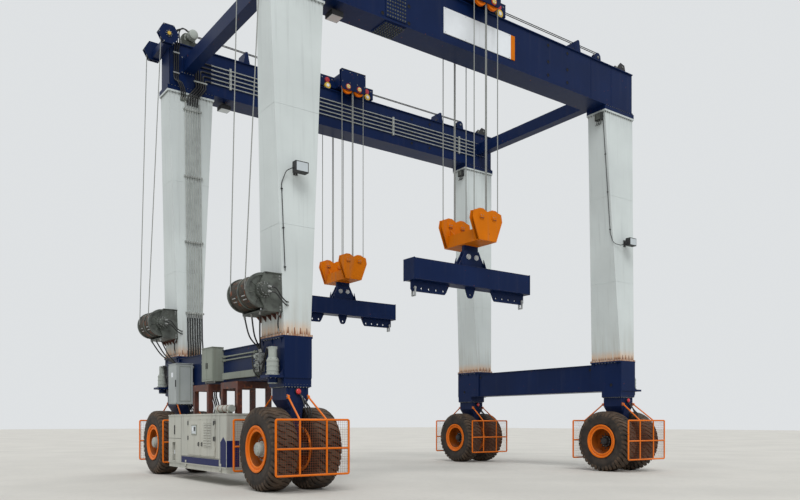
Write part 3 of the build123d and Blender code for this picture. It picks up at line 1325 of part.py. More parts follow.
# Floodlights: one under each girder's left end and one on each near leg
with BuildPart() as floodlights:
    for name, side in SIDES:
        x = LEFT_X + LAMP_IN
        y = side * LEG_Y
        top = GIRDER_BOTTOM_Z - LAMP_DROP
        block(x - LAMP_X / 2, x + LAMP_X / 2, y - LAMP_Y, y + LAMP_Y, top - LAMP_Z / 2, top)
        block(x - 30, x + 30, y - 30, y + 30, top, GIRDER_BOTTOM_Z)
    for way in (-1, 1):
        x = MID_X + way * TRACK / 2
        z = LEG_LAMP_Z
        wall = -LEG_Y - leg_side(z - LAMP_ARM / 2)
        front = wall - LAMP_ARM_LEN
        block(x - LAMP_ARM / 2, x + LAMP_ARM / 2, front, wall, z - LAMP_ARM / 2, z + LAMP_ARM / 2)
        block(x - LAMP_X / 2, x + LAMP_X / 2, front - LAMP_Y, front, z - LAMP_Z / 2, z + LAMP_Z / 2)
        socket = (x - LAMP_X / 2, front - LAMP_Y / 2, z - 20)
        if way < 0:
            below = -LEG_Y - leg_side(CABLE_TURN_Z)
            foot_x = x - leg_edge(way, CABLE_LOW_Z) + CABLE_IN
            turn_x = x - leg_edge(way, CABLE_TURN_Z) + CABLE_IN
            foot_y = -LEG_Y - leg_side(CABLE_LOW_Z) - CABLE_OUT
            route = [
                socket,
                (socket[0] - 90, wall - 60, z - 60),
                (turn_x, below - CABLE_OUT, CABLE_TURN_Z),
                (foot_x, foot_y, CABLE_LOW_Z),
            ]
            bent_tube(route, [90, 200], CABLE_R)
            for clip_z in LEFT_CLIP_Z:
                clip_x = x - leg_edge(way, clip_z) + CABLE_IN
                face = -LEG_Y - leg_side(clip_z - CLIP_HALF_H)
                edges = (clip_x - CLIP_WIDE, clip_x + CLIP_WIDE, face - 2 * CABLE_OUT, face)
                block(*edges, clip_z - CLIP_HALF_H, clip_z + CLIP_HALF_H)
        else:
            bend_y = -LEG_Y - leg_side(CABLE_BEND_Z) + CABLE_IN
            top_y = -LEG_Y - leg_side(CABLE_TOP_Z) + CABLE_IN
            route = [
                (x - leg_edge(way, CABLE_TOP_Z) - CABLE_OUT, top_y, CABLE_TOP_Z),
                (x - leg_edge(way, CABLE_BEND_Z) - CABLE_OUT, bend_y, CABLE_BEND_Z),
                (x - leg_edge(way, z) - 30, wall - 30, z - 60),
                (socket[0] - 110, wall - 90, z - 100),
                socket,
            ]
            bent_tube(route, [200, 120, 110], CABLE_R)
            for clip_z in RIGHT_CLIP_Z:
                clip_y = -LEG_Y - leg_side(clip_z) + CABLE_IN
                face = x - leg_edge(way, clip_z + CLIP_HALF_H)
                edges = (face - 2 * CABLE_OUT, face, clip_y - CLIP_WIDE, clip_y + CLIP_WIDE)
                block(*edges, clip_z - CLIP_HALF_H, clip_z + CLIP_HALF_H)
floodlights.part.label = "floodlights"
export_step(floodlights.part, "parts/floodlights.step")
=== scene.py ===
"""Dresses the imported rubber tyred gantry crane: a finish for every node, and the fine pieces that
plain solids leave out, such as tread, wire guards, rope windings, bolts, hoses and lamps.
"""

import json
import math

import bmesh
import bpy
from mathutils import Matrix, Vector

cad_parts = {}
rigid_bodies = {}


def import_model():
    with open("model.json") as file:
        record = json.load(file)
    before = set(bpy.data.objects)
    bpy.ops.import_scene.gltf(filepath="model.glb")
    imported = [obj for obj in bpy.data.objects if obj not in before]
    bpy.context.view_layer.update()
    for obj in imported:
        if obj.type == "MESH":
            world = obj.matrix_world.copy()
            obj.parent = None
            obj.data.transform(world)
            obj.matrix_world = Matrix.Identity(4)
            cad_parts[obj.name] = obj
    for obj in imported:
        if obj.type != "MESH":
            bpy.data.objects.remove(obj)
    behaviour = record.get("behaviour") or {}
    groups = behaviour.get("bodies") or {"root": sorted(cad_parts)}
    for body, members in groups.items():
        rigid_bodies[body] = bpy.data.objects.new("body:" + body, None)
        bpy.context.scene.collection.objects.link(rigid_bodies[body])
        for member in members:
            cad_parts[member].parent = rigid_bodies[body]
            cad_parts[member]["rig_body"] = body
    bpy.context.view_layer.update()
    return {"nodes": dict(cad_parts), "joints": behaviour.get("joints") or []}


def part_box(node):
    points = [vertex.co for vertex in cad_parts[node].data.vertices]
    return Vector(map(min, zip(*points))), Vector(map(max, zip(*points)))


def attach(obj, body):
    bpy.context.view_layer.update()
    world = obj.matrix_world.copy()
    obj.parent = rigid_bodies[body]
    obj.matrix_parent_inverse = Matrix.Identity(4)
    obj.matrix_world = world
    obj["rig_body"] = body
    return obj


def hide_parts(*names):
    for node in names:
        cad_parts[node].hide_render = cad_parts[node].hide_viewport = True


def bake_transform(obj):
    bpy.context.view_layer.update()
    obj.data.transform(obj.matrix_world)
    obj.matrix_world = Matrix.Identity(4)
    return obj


bl_info = {
    "name": "Gantry crane dressing",
    "version": (1, 0, 0),
    "blender": (4, 5, 0),
    "location": "View3D > Sidebar > Crane",
    "description": "Finishes and fine pieces for a packed rubber tyred gantry crane",
    "category": "Object",
}

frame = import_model()
NODES = frame["nodes"]

# Wheel stations: name, side along X, side along Y
CORNERS = (("nl", -1, -1), ("nr", 1, -1), ("fl", -1, 1), ("fr", 1, 1))
# Girder sides: name, side along Y
SIDES = (("near", -1), ("far", 1))

# Pivot of each joint, by the joint's name
PIVOTS = {
    joint["name"]: Vector(joint.get("pos_m") or (0, 0, 0)) for joint in frame["joints"]
}


def middle(node):
    """The centre of a CAD node's box."""
    low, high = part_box(node)
    return (low + high) / 2


MID_X = middle("girder_near").x
GIRDER_Y = abs(middle("girder_near").y)
GIRDER_LOW, GIRDER_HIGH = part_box("girder_near")
WEB_Y = 0.31
GIRDER_TOP = 11.855
GIRDER_BOTTOM = 10.66
STATION_X = PIVOTS["roll_nr"].x - MID_X
AXLE_Z = PIVOTS["roll_nr"].z
LEG_FOOT_Z = 3.27
LEG_HEAD_Z = 10.49
SADDLE_HALF_X = 0.28
BASE_HALF_X = 0.32


def portal(x, y, z):
    """A point given from the portal's middle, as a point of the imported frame."""
    return Vector((MID_X + x, y, z))


def leg_share(z):
    """How far up a leg a height lies, from 0 at the foot to 1 at the head."""
    return (z - LEG_FOOT_Z) / (LEG_HEAD_Z - LEG_FOOT_Z)


def leg_outer(z):
    """Distance of a leg's outer face from the middle of the portal, along X."""
    return STATION_X + 0.31 + (0.53 - 0.31) * leg_share(z)


def leg_front(z):
    """Distance of a near leg's near face from the middle of the portal, along Y."""
    return GIRDER_Y + 0.53 + (0.31 - 0.53) * leg_share(z)


def leg_back(z):
    """Distance of a leg's inner face from the middle of the portal, along Y."""
    return GIRDER_Y - 0.53 - (0.31 - 0.53) * leg_share(z)


def rounded(points, radii, steps=5):
    """A path of straight runs joined by tangent arcs, one radius for each point between the ends."""
    points = [Vector(point) for point in points]
    path = points[:1]
    for before, corner, after, radius in zip(points, points[1:], points[2:], radii):
        back, onward = (before - corner).normalized(), (after - corner).normalized()
        half = back.angle(onward) / 2
        centre = corner + (back + onward).normalized() * radius / math.sin(half)
        first = corner + back * radius / math.tan(half) - centre
        last = corner + onward * radius / math.tan(half) - centre
        turn = math.pi - 2 * half
        for step in range(steps + 1):
            share = step / steps
            spoke = first * math.sin((1 - share) * turn) + last * math.sin(share * turn)
            path.append(centre + spoke / math.sin(turn))
    return path + points[-1:]


def flowing(points, steps=5):
    """A smooth path through a few points."""
    points = [Vector(point) for point in points]
    ends = [2 * points[0] - points[1], *points, 2 * points[-1] - points[-2]]
    path = []
    for a, b, c, d in zip(ends, ends[1:], ends[2:], ends[3:]):
        for step in range(steps):
            t = step / steps
            bend = (2 * a - 5 * b + 4 * c - d) * t + (3 * b - a - 3 * c + d) * t * t
            path.append(b + (c - a + bend) * t / 2)
    return path + points[-1:]


def linear(red, green, blue):
    """A colour from its 0 to 255 screen values, as the shaders take it."""
    values = []
    for value in (red, green, blue):
        share = value / 255
        values.append(share / 12.92 if share <= 0.04045 else ((share + 0.055) / 1.055) ** 2.4)
    return tuple(values)


def paint_colour(name, description, red, green, blue):
    """A colour property with its default in screen values."""
    return bpy.props.FloatVectorProperty(
        name=name,
        description=description,
        subtype="COLOR",
        size=3,
        min=0.0,
        max=1.0,
        default=linear(red, green, blue),
    )


def distance(name, description, default):
    """A length property in metres."""
    return bpy.props.FloatProperty(
        name=name,
        description=description,
        default=default,
        min=0.0001,
        subtype="DISTANCE",
        unit="LENGTH",
    )


class CraneColours(bpy.types.PropertyGroup):
    """Base colours of the crane's paints and bare materials."""

    navy: paint_colour("Navy", "Paint of girders, saddle beams, yokes and lifting beams", 12, 31, 70)
    leg: paint_colour("Leg grey", "Paint of the legs", 204, 211, 210)
    orange: paint_colour("Guard orange", "Paint of the wheel guards and rims", 228, 112, 4)
    block: paint_colour("Block orange", "Paint of the lower blocks", 208, 112, 8)
    canopy: paint_colour("Canopy white", "Paint of the generating set's canopy", 184, 185, 176)
    decal: paint_colour("Decal blue", "Stripe and corner of the canopy", 22, 32, 84)
    winch: paint_colour("Winch grey", "Paint of the winches", 84, 89, 83)
    primer: paint_colour("Primer", "Red-brown primer of the hangers", 84, 42, 30)
    rubber: paint_colour("Rubber", "Tyre rubber", 30, 30, 30)
    tread: paint_colour("Tread dust", "Dry dust in the tread", 104, 84, 66)
    rust: paint_colour("Rust", "Rust runs and bare edges", 120, 62, 28)
    hub: paint_colour("Hub grey", "Hub motors and steering motors", 164, 170, 164)
    cabinet: paint_colour("Cabinet grey", "Valve cabinet and tray", 132, 138, 128)
    sign: paint_colour("Sign white", "Blank plate on the near girder", 226, 230, 234)


class CraneSizes(bpy.types.PropertyGroup):
    """Sizes of the fine pieces."""

    wire_pitch: distance("Wire pitch", "Spacing of the wires in the wheel guards", 0.05)
    wire: distance("Wire", "Thickness of the guard wires", 0.0052)
    guard_tube: distance("Guard tube", "Diameter of the guards' tubes", 0.046)
    rope: distance("Rope", "Diameter of the hoist ropes", 0.024)
    pipe: distance("Pipe", "Diameter of the hydraulic pipes", 0.034)
    bolt: distance("Bolt", "Width of a flange bolt's head", 0.036)
    seam: distance("Seam", "Width of a gap between panels", 0.008)
    lug_count: bpy.props.IntProperty(
        name="Lugs", description="Lugs on each side of a tyre", default=38, min=8, max=80
    )


class Signal:
    """A number that varies over a surface. It takes + - * / and powers like a plain number."""

    def __init__(self, recipe, socket):
        self.recipe = recipe
        self.socket = socket

    def maths(self, operation, first, second):
        made = self.recipe.node("ShaderNodeMath", {"operation": operation}, {0: first, 1: second})
        return Signal(self.recipe, made.outputs[0])

    def __add__(self, other):
        return self.maths("ADD", self, other)

    __radd__ = __add__

    def __sub__(self, other):
        return self.maths("SUBTRACT", self, other)

    def __rsub__(self, other):
        return self.maths("SUBTRACT", other, self)

    def __mul__(self, other):
        return self.maths("MULTIPLY", self, other)

    __rmul__ = __mul__

    def __truediv__(self, other):
        return self.maths("DIVIDE", self, other)

    def __rtruediv__(self, other):
        return self.maths("DIVIDE", other, self)

    def __pow__(self, other):
        return self.maths("POWER", self, other)

    def between(self, low, high):
        """Rises smoothly from 0 at low to 1 at high, or falls if low is the larger."""
        made = self.recipe.node(
            "ShaderNodeMapRange",
            {"interpolation_type": "SMOOTHSTEP"},
            {"Value": self, "From Min": low, "From Max": high},
        )
        return Signal(self.recipe, made.outputs[0])


class Recipe:
    """A material in the making: one Principled shader and the nodes that vary it."""

    def __init__(self, name):
        self.material = bpy.data.materials.new(name)
        self.material.use_nodes = True
        self.tree = self.material.node_tree
        self.tree.nodes.clear()
        self.shader = self.node("ShaderNodeBsdfPrincipled")
        self.node("ShaderNodeOutputMaterial", {}, {"Surface": self.shader.outputs[0]})
        coordinates = self.node("ShaderNodeTexCoord")
        self.place = coordinates.outputs["Object"]
        self.normal = coordinates.outputs["Normal"]

    def node(self, kind, settings=None, inputs=None):
        made = self.tree.nodes.new(kind)
        for name, value in (settings or {}).items():
            setattr(made, name, value)
        for key, value in (inputs or {}).items():
            self.feed(made.inputs[key], value)
        return made

    def feed(self, socket, value):
        if isinstance(value, Signal):
            value = value.socket
        if isinstance(value, bpy.types.NodeSocket):
            self.tree.links.new(value, socket)
        elif socket.type == "RGBA" and len(value) == 3:
            socket.default_value = (*value, 1.0)
        else:
            socket.default_value = value

    def shade(self, **inputs):
        """Sets or feeds the shader's own sockets."""
        for name, value in inputs.items():
            self.feed(self.shader.inputs[name.replace("_", " ")], value)

    def axis(self, source, letter):
        """One coordinate of a vector socket."""
        made = self.node("ShaderNodeSeparateXYZ", {}, {0: source})
        return Signal(self, made.outputs[letter])

    def stretched(self, scale):
        """The object's coordinates, scaled apart along X, Y and Z."""
        return self.node("ShaderNodeMapping", {}, {"Vector": self.place, "Scale": scale}).outputs[0]

    def noise(self, scale, detail=3.0, stretch=None):
        """Soft noise from 0 to 1. Stretch gives separate scales along X, Y and Z."""
        place = self.stretched(stretch) if stretch else self.place
        inputs = {"Vector": place, "Scale": scale, "Detail": detail}
        return Signal(self, self.node("ShaderNodeTexNoise", {}, inputs).outputs[0])

    def mix(self, share, first, second, way="MIX"):
        """A colour between two others."""
        settings = {"data_type": "RGBA", "blend_type": way, "clamp_factor": True}
        made = self.node("ShaderNodeMix", settings, {0: share, 6: first, 7: second})
        return made.outputs[2]

    def bump(self, height, depth, strength=1.0):
        inputs = {"Height": height, "Distance": depth, "Strength": strength}
        self.shade(Normal=self.node("ShaderNodeBump", {}, inputs).outputs[0])


def darker(colour, share):
    """A colour with its brightness scaled."""
    return tuple(value * share for value in colour)


DUST = linear(168, 160, 146)
SOOT = linear(40, 38, 35)


def painted_steel(name, colour, gloss=0.34, dust=0.5, streaks=0.3, rust=None, low_dirt=0.3, shine=0.22):
    """Brushed or sprayed paint on plate: dust on ledges, rain streaks, splashes low down, chips."""
    recipe = Recipe(name)
    height = recipe.axis(recipe.place, "Z")
    up = recipe.axis(recipe.normal, "Z").between(0.35, 0.95)
    cloud = recipe.noise(0.9, 4.0)
    fine = recipe.noise(38.0, 3.0)
    rain = recipe.noise(1.0, 4.0, (9.0, 9.0, 0.5))
    base = recipe.mix(cloud.between(0.3, 0.75), darker(colour, 0.86), darker(colour, 1.08))
    streak = rain.between(0.5, 0.78) * (1 - up) * streaks
    base = recipe.mix(streak, base, darker(DUST, 0.42))
    splash = height.between(2.6, 0.1) * cloud.between(0.25, 0.7) * low_dirt
    base = recipe.mix(splash, base, DUST)
    ledge = up * recipe.noise(5.0, 4.0).between(0.25, 0.65) * dust
    base = recipe.mix(ledge, base, DUST)
    if rust:
        chips = recipe.noise(13.0, 5.0).between(0.69, 0.73) * cloud.between(0.42, 0.6)
        base = recipe.mix(chips, base, rust)
    recipe.shade(Base_Color=base, Specular_IOR_Level=shine)
    recipe.shade(Roughness=gloss + 0.16 * cloud + 0.35 * ledge + 0.2 * splash)
    waves = recipe.noise(1.6, 1.0) * 0.8 + fine * 0.06
    recipe.bump(waves, 0.012, 0.35)
    return recipe.material


def leg_paint(name, colours):
    """Pale paint of the legs, with rain marks and rust that runs up from the foot's flange."""
    recipe = Recipe(name)
    colour = tuple(colours.leg)
    height = recipe.axis(recipe.place, "Z")
    cloud = recipe.noise(0.55, 4.0)
    rain = recipe.noise(1.0, 5.0, (11.0, 11.0, 0.28))
    thin = recipe.noise(1.0, 5.0, (46.0, 46.0, 0.7))
    base = recipe.mix(cloud.between(0.3, 0.7), darker(colour, 0.9), darker(colour, 1.03))
    base = recipe.mix(rain.between(0.52, 0.8) * 0.28, base, darker(colour, 0.55))
    grime = height.between(4.6, 3.3) * rain.between(0.3, 0.7)
    base = recipe.mix(grime * 0.3, base, linear(150, 140, 120))
    foot = height.between(3.60, 3.27) * thin.between(0.12, 0.72)
    base = recipe.mix(foot * 0.8, base, linear(214, 158, 98))
    edge = height.between(3.37, 3.28) * thin.between(0.35, 0.62)
    base = recipe.mix(edge * 0.8, base, tuple(colours.rust))
    head = height.between(10.1, 10.5) * thin.between(0.45, 0.7)
    base = recipe.mix(head * 0.5, base, darker(colour, 0.4))
    recipe.shade(Base_Color=base, Specular_IOR_Level=0.4)
    recipe.shade(Roughness=0.42 + 0.2 * cloud + 0.2 * foot)
    recipe.bump(recipe.noise(1.3, 1.0) + 0.03 * recipe.noise(45.0, 2.0), 0.014, 0.4)
    return recipe.material


def tyre_rubber(name, colours, dusty):
    """Rubber with a grey bloom, and dry dust where it is dusty."""
    recipe = Recipe(name)
    rubber = tuple(colours.rubber)
    cloud = recipe.noise(4.0, 4.0)
    fine = recipe.noise(60.0, 4.0)
    base = recipe.mix(cloud.between(0.3, 0.7), darker(rubber, 0.7), darker(rubber, 1.35))
    cover = cloud.between(0.2, 0.72) * dusty + fine.between(0.45, 0.7) * dusty * 0.3
    base = recipe.mix(cover, base, tuple(colours.tread))
    recipe.shade(Base_Color=base, Roughness=0.62 + 0.25 * cloud, Specular_IOR_Level=0.35)
    recipe.bump(fine + 2 * recipe.noise(14.0, 3.0), 0.004, 0.5)
    return recipe.material


def bare_metal(name, colour, roughness=0.42, metallic=0.85, grime=0.5):
    """Galvanised or machined steel with dull patches."""
    recipe = Recipe(name)
    cloud = recipe.noise(6.0, 4.0)
    fine = recipe.noise(70.0, 3.0)
    base = recipe.mix(cloud.between(0.35, 0.75) * grime, colour, darker(colour, 0.45))
    recipe.shade(Base_Color=base, Metallic=metallic - 0.35 * cloud * grime)
    recipe.shade(Roughness=roughness + 0.2 * cloud)
    recipe.bump(fine, 0.001, 0.3)
    return recipe.material


def greasy_steel(name, colour, grease=0.7, rust=None):
    """Worn winch parts: thick paint under grease and dust, rusty where it is thin."""
    recipe = Recipe(name)
    cloud = recipe.noise(5.0, 5.0)
    blotch = recipe.noise(11.0, 5.0)
    base = recipe.mix(cloud.between(0.3, 0.7), darker(colour, 0.6), darker(colour, 1.15))
    base = recipe.mix(blotch.between(0.5, 0.62) * grease, base, SOOT)
    if rust:
        base = recipe.mix(recipe.noise(8.0, 6.0).between(0.57, 0.66) * 0.8, base, rust)
    up = recipe.axis(recipe.normal, "Z").between(0.3, 0.95)
    base = recipe.mix(up * cloud.between(0.3, 0.7) * 0.45, base, DUST)
    recipe.shade(Base_Color=base, Roughness=0.38 + 0.3 * cloud, Specular_IOR_Level=0.5)
    recipe.bump(blotch + 0.3 * recipe.noise(50.0, 3.0), 0.006, 0.5)
    return recipe.material


def laid_rope(name, colour, turns):
    """Wire rope: strands laid at a slant, greasy between them. Turns is strands per metre."""
    recipe = Recipe(name)
    along = recipe.axis(recipe.place, "Z") * turns
    round_x = recipe.axis(recipe.place, "X") * 160
    round_y = recipe.axis(recipe.place, "Y") * 160
    wave = recipe.node("ShaderNodeMath", {"operation": "SINE"}, {0: along + round_x + round_y})
    strand = Signal(recipe, wave.outputs[0]) * 0.5 + 0.5
    base = recipe.mix(strand, darker(colour, 0.45), colour)
    recipe.shade(Base_Color=base, Metallic=0.35 + 0.3 * strand, Roughness=0.55)
    recipe.bump(strand, 0.003, 0.6)
    return recipe.material


def plain_coat(name, colour, roughness=0.4, mottle=0.25, metallic=0.0, shine=0.0):
    """A moulded, cast or printed surface with a little unevenness."""
    recipe = Recipe(name)
    cloud = recipe.noise(7.0, 4.0)
    base = recipe.mix(cloud.between(0.3, 0.75) * mottle, colour, darker(colour, 0.5))
    recipe.shade(Base_Color=base, Roughness=roughness + 0.15 * cloud, Metallic=metallic, Coat_Weight=shine)
    recipe.bump(recipe.noise(42.0, 3.0), 0.001, 0.25)
    return recipe.material


def floor_concrete(name):
    """The pale floor that the crane stands on."""
    recipe = Recipe(name)
    cloud = recipe.noise(0.35, 5.0)
    grain = recipe.noise(7.0, 6.0)
    pale = linear(206, 203, 196)
    base = recipe.mix(cloud.between(0.3, 0.7), darker(pale, 0.9), pale)
    base = recipe.mix(grain.between(0.45, 0.75) * 0.25, base, darker(pale, 0.75))
    recipe.shade(Base_Color=base, Roughness=0.72 + 0.15 * cloud, Specular_IOR_Level=0.25)
    recipe.bump(grain, 0.004, 0.3)
    return recipe.material


FINISHES = {
    "navy": lambda name, c: painted_steel(name, tuple(c.navy), 0.3, 0.25, 0.04, tuple(c.rust), 0.08, 0.1),
    "leg": leg_paint,
    "wire": lambda name, c: painted_steel(name, linear(128, 64, 30), 0.6, 0.1, 0.25, tuple(c.rust), 0.1),
    # Rim recess: orange darkened to 0.28, painted shade in the wells
    "well": lambda name, c: painted_steel(name, darker(tuple(c.orange), 0.28), 0.5, 0.1, 0.1, tuple(c.rust), 0.03, 0.04),
    "orange": lambda name, c: painted_steel(name, tuple(c.orange), 0.38, 0.3, 0.12, tuple(c.rust), 0.1, 0.08),
    "block": lambda name, c: painted_steel(name, tuple(c.block), 0.36, 0.15, 0.3, SOOT, 0.0, 0.06),
    "canopy": lambda name, c: painted_steel(name, tuple(c.canopy), 0.4, 0.5, 0.35, None, 0.35),
    "decal": lambda name, c: painted_steel(name, tuple(c.decal), 0.36, 0.15, 0.06, None, 0.03, 0.1),
    "winch": lambda name, c: greasy_steel(name, tuple(c.winch), 0.45, None),
    "winding": lambda name, c: greasy_steel(name, linear(62, 56, 46), 0.6, tuple(c.rust)),
    "primer": lambda name, c: greasy_steel(name, tuple(c.primer), 0.35, tuple(c.rust)),
    "rusty": lambda name, c: greasy_steel(name, tuple(c.rust), 0.3, None),
    "sidewall": lambda name, c: tyre_rubber(name, c, 0.22),
    "lug": lambda name, c: tyre_rubber(name, c, 0.62),
    "groove": lambda name, c: tyre_rubber(name, c, 0.4),
    "hub": lambda name, c: painted_steel(name, tuple(c.hub), 0.4, 0.4, 0.3, SOOT, 0.2),
    "cabinet": lambda name, c: painted_steel(name, tuple(c.cabinet), 0.42, 0.5, 0.4, None, 0.2),
    "pale_box": lambda name, c: painted_steel(name, darker(tuple(c.leg), 0.62), 0.4, 0.3, 0.4, None, 0.15),
    "pipe": lambda name, c: bare_metal(name, linear(168, 172, 168), 0.45, 0.35, 0.5),
    "sign": lambda name, c: painted_steel(name, tuple(c.sign), 0.3, 0.2, 0.2, None, 0.0),
    "steel": lambda name, c: bare_metal(name, linear(176, 178, 178)),
    "bolt": lambda name, c: bare_metal(name, linear(150, 152, 150), 0.38, 0.7, 0.7),
    "dark": lambda name, c: plain_coat(name, linear(34, 34, 36), 0.5),
    "hose": lambda name, c: plain_coat(name, linear(26, 26, 27), 0.42, 0.4),
    # Near-black: painted shade inside hand holes, lug holes, louvre slots and recess backs; also the dark seams
    # between panels
    "hole": lambda name, c: plain_coat(name, linear(9, 9, 10), 0.8),
    "rope": lambda name, c: laid_rope(name, linear(164, 166, 162), 220),
    "red": lambda name, c: plain_coat(name, linear(196, 24, 30), 0.18, 0.15, 0.0, 0.6),
    "cap_red": lambda name, c: plain_coat(name, linear(176, 42, 52), 0.4, 0.3),
    "yellow": lambda name, c: plain_coat(name, linear(214, 178, 66), 0.4, 0.4),
    "glass": lambda name, c: plain_coat(name, linear(188, 196, 200), 0.12, 0.1, 0.0, 0.8),
}


def finish(name):
    """The material of that finish, made once. The frame's own flat materials have other names."""
    label = "crane_" + name
    material = bpy.data.materials.get(label)
    if material is None:
        material = FINISHES[name](label, bpy.context.scene.crane_colours)
    return material


def dress(finish_name, *nodes):
    """Gives CAD nodes their finish."""
    for node in nodes:
        slots = NODES[node].data.materials
        slots.clear()
        slots.append(finish(finish_name))


class Shape:
    """A mesh in the making. Every face keeps the name of its finish, and whether it is smooth."""

    def __init__(self, finish_name="navy"):
        self.points = []
        self.faces = []
        self.finish = finish_name

    def add(self, points, faces, finish_name=None, smooth=False):
        start = len(self.points)
        self.points.extend(Vector(point) for point in points)
        kept = finish_name or self.finish
        self.faces.extend(([start + i for i in face], kept, smooth) for face in faces)

    def box(self, first, second, finish_name=None):
        """A box between two opposite corners."""
        (x0, x1), (y0, y1), (z0, z1) = (sorted(pair) for pair in zip(first, second))
        corners = [(x, y, z) for z in (z0, z1) for y in (y0, y1) for x in (x0, x1)]
        faces = [(0, 2, 3, 1), (4, 5, 7, 6), (0, 1, 5, 4), (2, 6, 7, 3), (0, 4, 6, 2), (1, 3, 7, 5)]
        self.add(corners, faces, finish_name)

    def plate(self, outline, plane, start, end, finish_name=None):
        """An outline of the two other axes, as thick as from start to end along plane's axis."""
        order = {"x": (2, 0, 1), "y": (0, 2, 1), "z": (0, 1, 2)}[plane]
        count = len(outline)
        points = []
        for depth in (start, end):
            for a, b in outline:
                values = (a, b, depth)
                points.append([values[i] for i in order])
        faces = [tuple(range(count)), tuple(range(2 * count - 1, count - 1, -1))]
        faces += [(i, (i + 1) % count, count + (i + 1) % count, count + i) for i in range(count)]
        self.add(points, faces, finish_name)

    def turned(self, profile, centre, axis, steps=32, finish_name=None, smooth=True, turn=0.0):
        """A shape turned about an axis, from pairs of distance along it and radius."""
        way = Vector(axis).normalized()
        side = way.orthogonal().normalized()
        if abs(way.z) < 0.9:
            side = way.cross(Vector((0, 0, 1))).normalized()
        other = way.cross(side)
        centre = Vector(centre)
        rings = []
        points = []
        for along, radius in profile:
            if radius < 1e-6:
                rings.append([len(points)])
                points.append(centre + way * along)
                continue
            rings.append(list(range(len(points), len(points) + steps)))
            for step in range(steps):
                angle = turn + 2 * math.pi * step / steps
                spoke = side * math.cos(angle) + other * math.sin(angle)
                points.append(centre + way * along + spoke * radius)
        faces = []
        for first, second in zip(rings, rings[1:]):
            for step in range(steps):
                after = (step + 1) % steps
                a = [first[step], first[after]] if len(first) > 1 else [first[0]]
                b = [second[after], second[step]] if len(second) > 1 else [second[0]]
                if len(a) + len(b) > 2:
                    faces.append(tuple(a + b))
        self.add(points, faces, finish_name, smooth)

    def disc(self, centre, axis, radius, depth, steps=24, finish_name=None, bevel=0.0):
        """A round slab, from its centre outward along the axis."""
        profile = [(0, 0), (0, radius), (depth - bevel, radius)]
        if bevel:
            profile.append((depth, radius - bevel))
        profile.append((depth, 0))
        self.turned(profile, centre, axis, steps, finish_name)

    def tube(self, path, radius, sides=8, finish_name=None, caps=True):
        """A round bar along a path of points."""
        path = [Vector(point) for point in path]
        ways = [(b - a).normalized() for a, b in zip(path, path[1:])]
        tangents = [ways[0]]
        tangents += [(a + b).normalized() for a, b in zip(ways, ways[1:])]
        tangents.append(ways[-1])
        side = tangents[0].orthogonal().normalized()
        points = []
        for place, way in zip(path, tangents):
            side = (side - way * side.dot(way)).normalized()
            other = way.cross(side)
            for step in range(sides):
                angle = 2 * math.pi * step / sides
                spoke = side * math.cos(angle) + other * math.sin(angle)
                points.append(place + spoke * radius)
        faces = []
        for ring in range(len(path) - 1):
            for step in range(sides):
                after = (step + 1) % sides
                a, b = ring * sides, (ring + 1) * sides
                faces.append((a + step, a + after, b + after, b + step))
        self.add(points, faces, finish_name, sides > 5)
        if caps:
            last = (len(path) - 1) * sides
            ends = [tuple(range(sides - 1, -1, -1)), tuple(range(last, last + sides))]
            self.add(points, ends, finish_name)

    def hose(self, points, radius=0.014):
        """A rubber hose held at both ends, with its crimped sleeves."""
        path = flowing(points)
        self.tube(path, radius, 8, "hose")
        sleeve = [(-0.001, 0.0), (-0.001, radius * 1.3), (radius * 4, radius * 1.3), (radius * 4, 0.0)]
        for end, onward in ((path[0], path[1]), (path[-1], path[-2])):
            self.turned(sleeve, end, onward - end, 10, "bolt")

    def bolt(self, centre, axis, width, height=None, finish_name="bolt"):
        """A hexagon head on a washer."""
        radius = width / 1.8
        tall = height or width * 0.55
        self.turned([(0, radius * 1.35), (tall * 0.25, radius * 1.35), (tall * 0.25, 0)],
                    centre, axis, 10, finish_name, False)
        self.turned([(0, radius), (tall, radius * 0.96), (tall, 0)], centre, axis, 6, finish_name, False)

    def bolt_row(self, start, end, count, axis, width, finish_name="bolt"):
        """Bolts at even steps between two points, both ends included."""
        start, end = Vector(start), Vector(end)
        for step in range(count):
            share = step / (count - 1) if count > 1 else 0.5
            self.bolt(start.lerp(end, share), axis, width, None, finish_name)

    def bolt_ring(self, centre, axis, ring, count, width, finish_name="bolt", turn=0.0):
        """Bolts round a circle."""
        way = Vector(axis).normalized()
        side = way.orthogonal().normalized()
        other = way.cross(side)
        for step in range(count):
            angle = turn + 2 * math.pi * step / count
            spoke = side * math.cos(angle) + other * math.sin(angle)
            self.bolt(Vector(centre) + spoke * ring, way, width, None, finish_name)

    def make(self, name, body, bevel=0.0):
        """The finished object, riding on its body."""
        used = sorted({face[1] for face in self.faces})
        mesh = bpy.data.meshes.new(name)
        mesh.from_pydata([tuple(point) for point in self.points], [], [face[0] for face in self.faces])
        for material in used:
            mesh.materials.append(finish(material))
        for polygon, (_, kept, smooth) in zip(mesh.polygons, self.faces):
            polygon.material_index = used.index(kept)
            polygon.use_smooth = smooth
        work = bmesh.new()
        work.from_mesh(mesh)
        bmesh.ops.remove_doubles(work, verts=work.verts, dist=1e-6)
        bmesh.ops.recalc_face_normals(work, faces=work.faces)
        work.to_mesh(mesh)
        work.free()
        mesh.set_sharp_from_angle(angle=math.radians(38))
        piece = bpy.data.objects.new(name, mesh)
        bpy.context.scene.collection.objects.link(piece)
        if bevel:
            rounding = piece.modifiers.new("Rounding", "BEVEL")
            rounding.width = bevel
            rounding.segments = 2
            rounding.limit_method = "ANGLE"
            rounding.angle_limit = math.radians(50)
        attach(piece, body)
        return piece


class CraneStep:
    """What the operators share: the scene's colours and sizes."""

    bl_options = {"REGISTER", "UNDO"}

    @property
    def sizes(self):
        return bpy.context.scene.crane_sizes


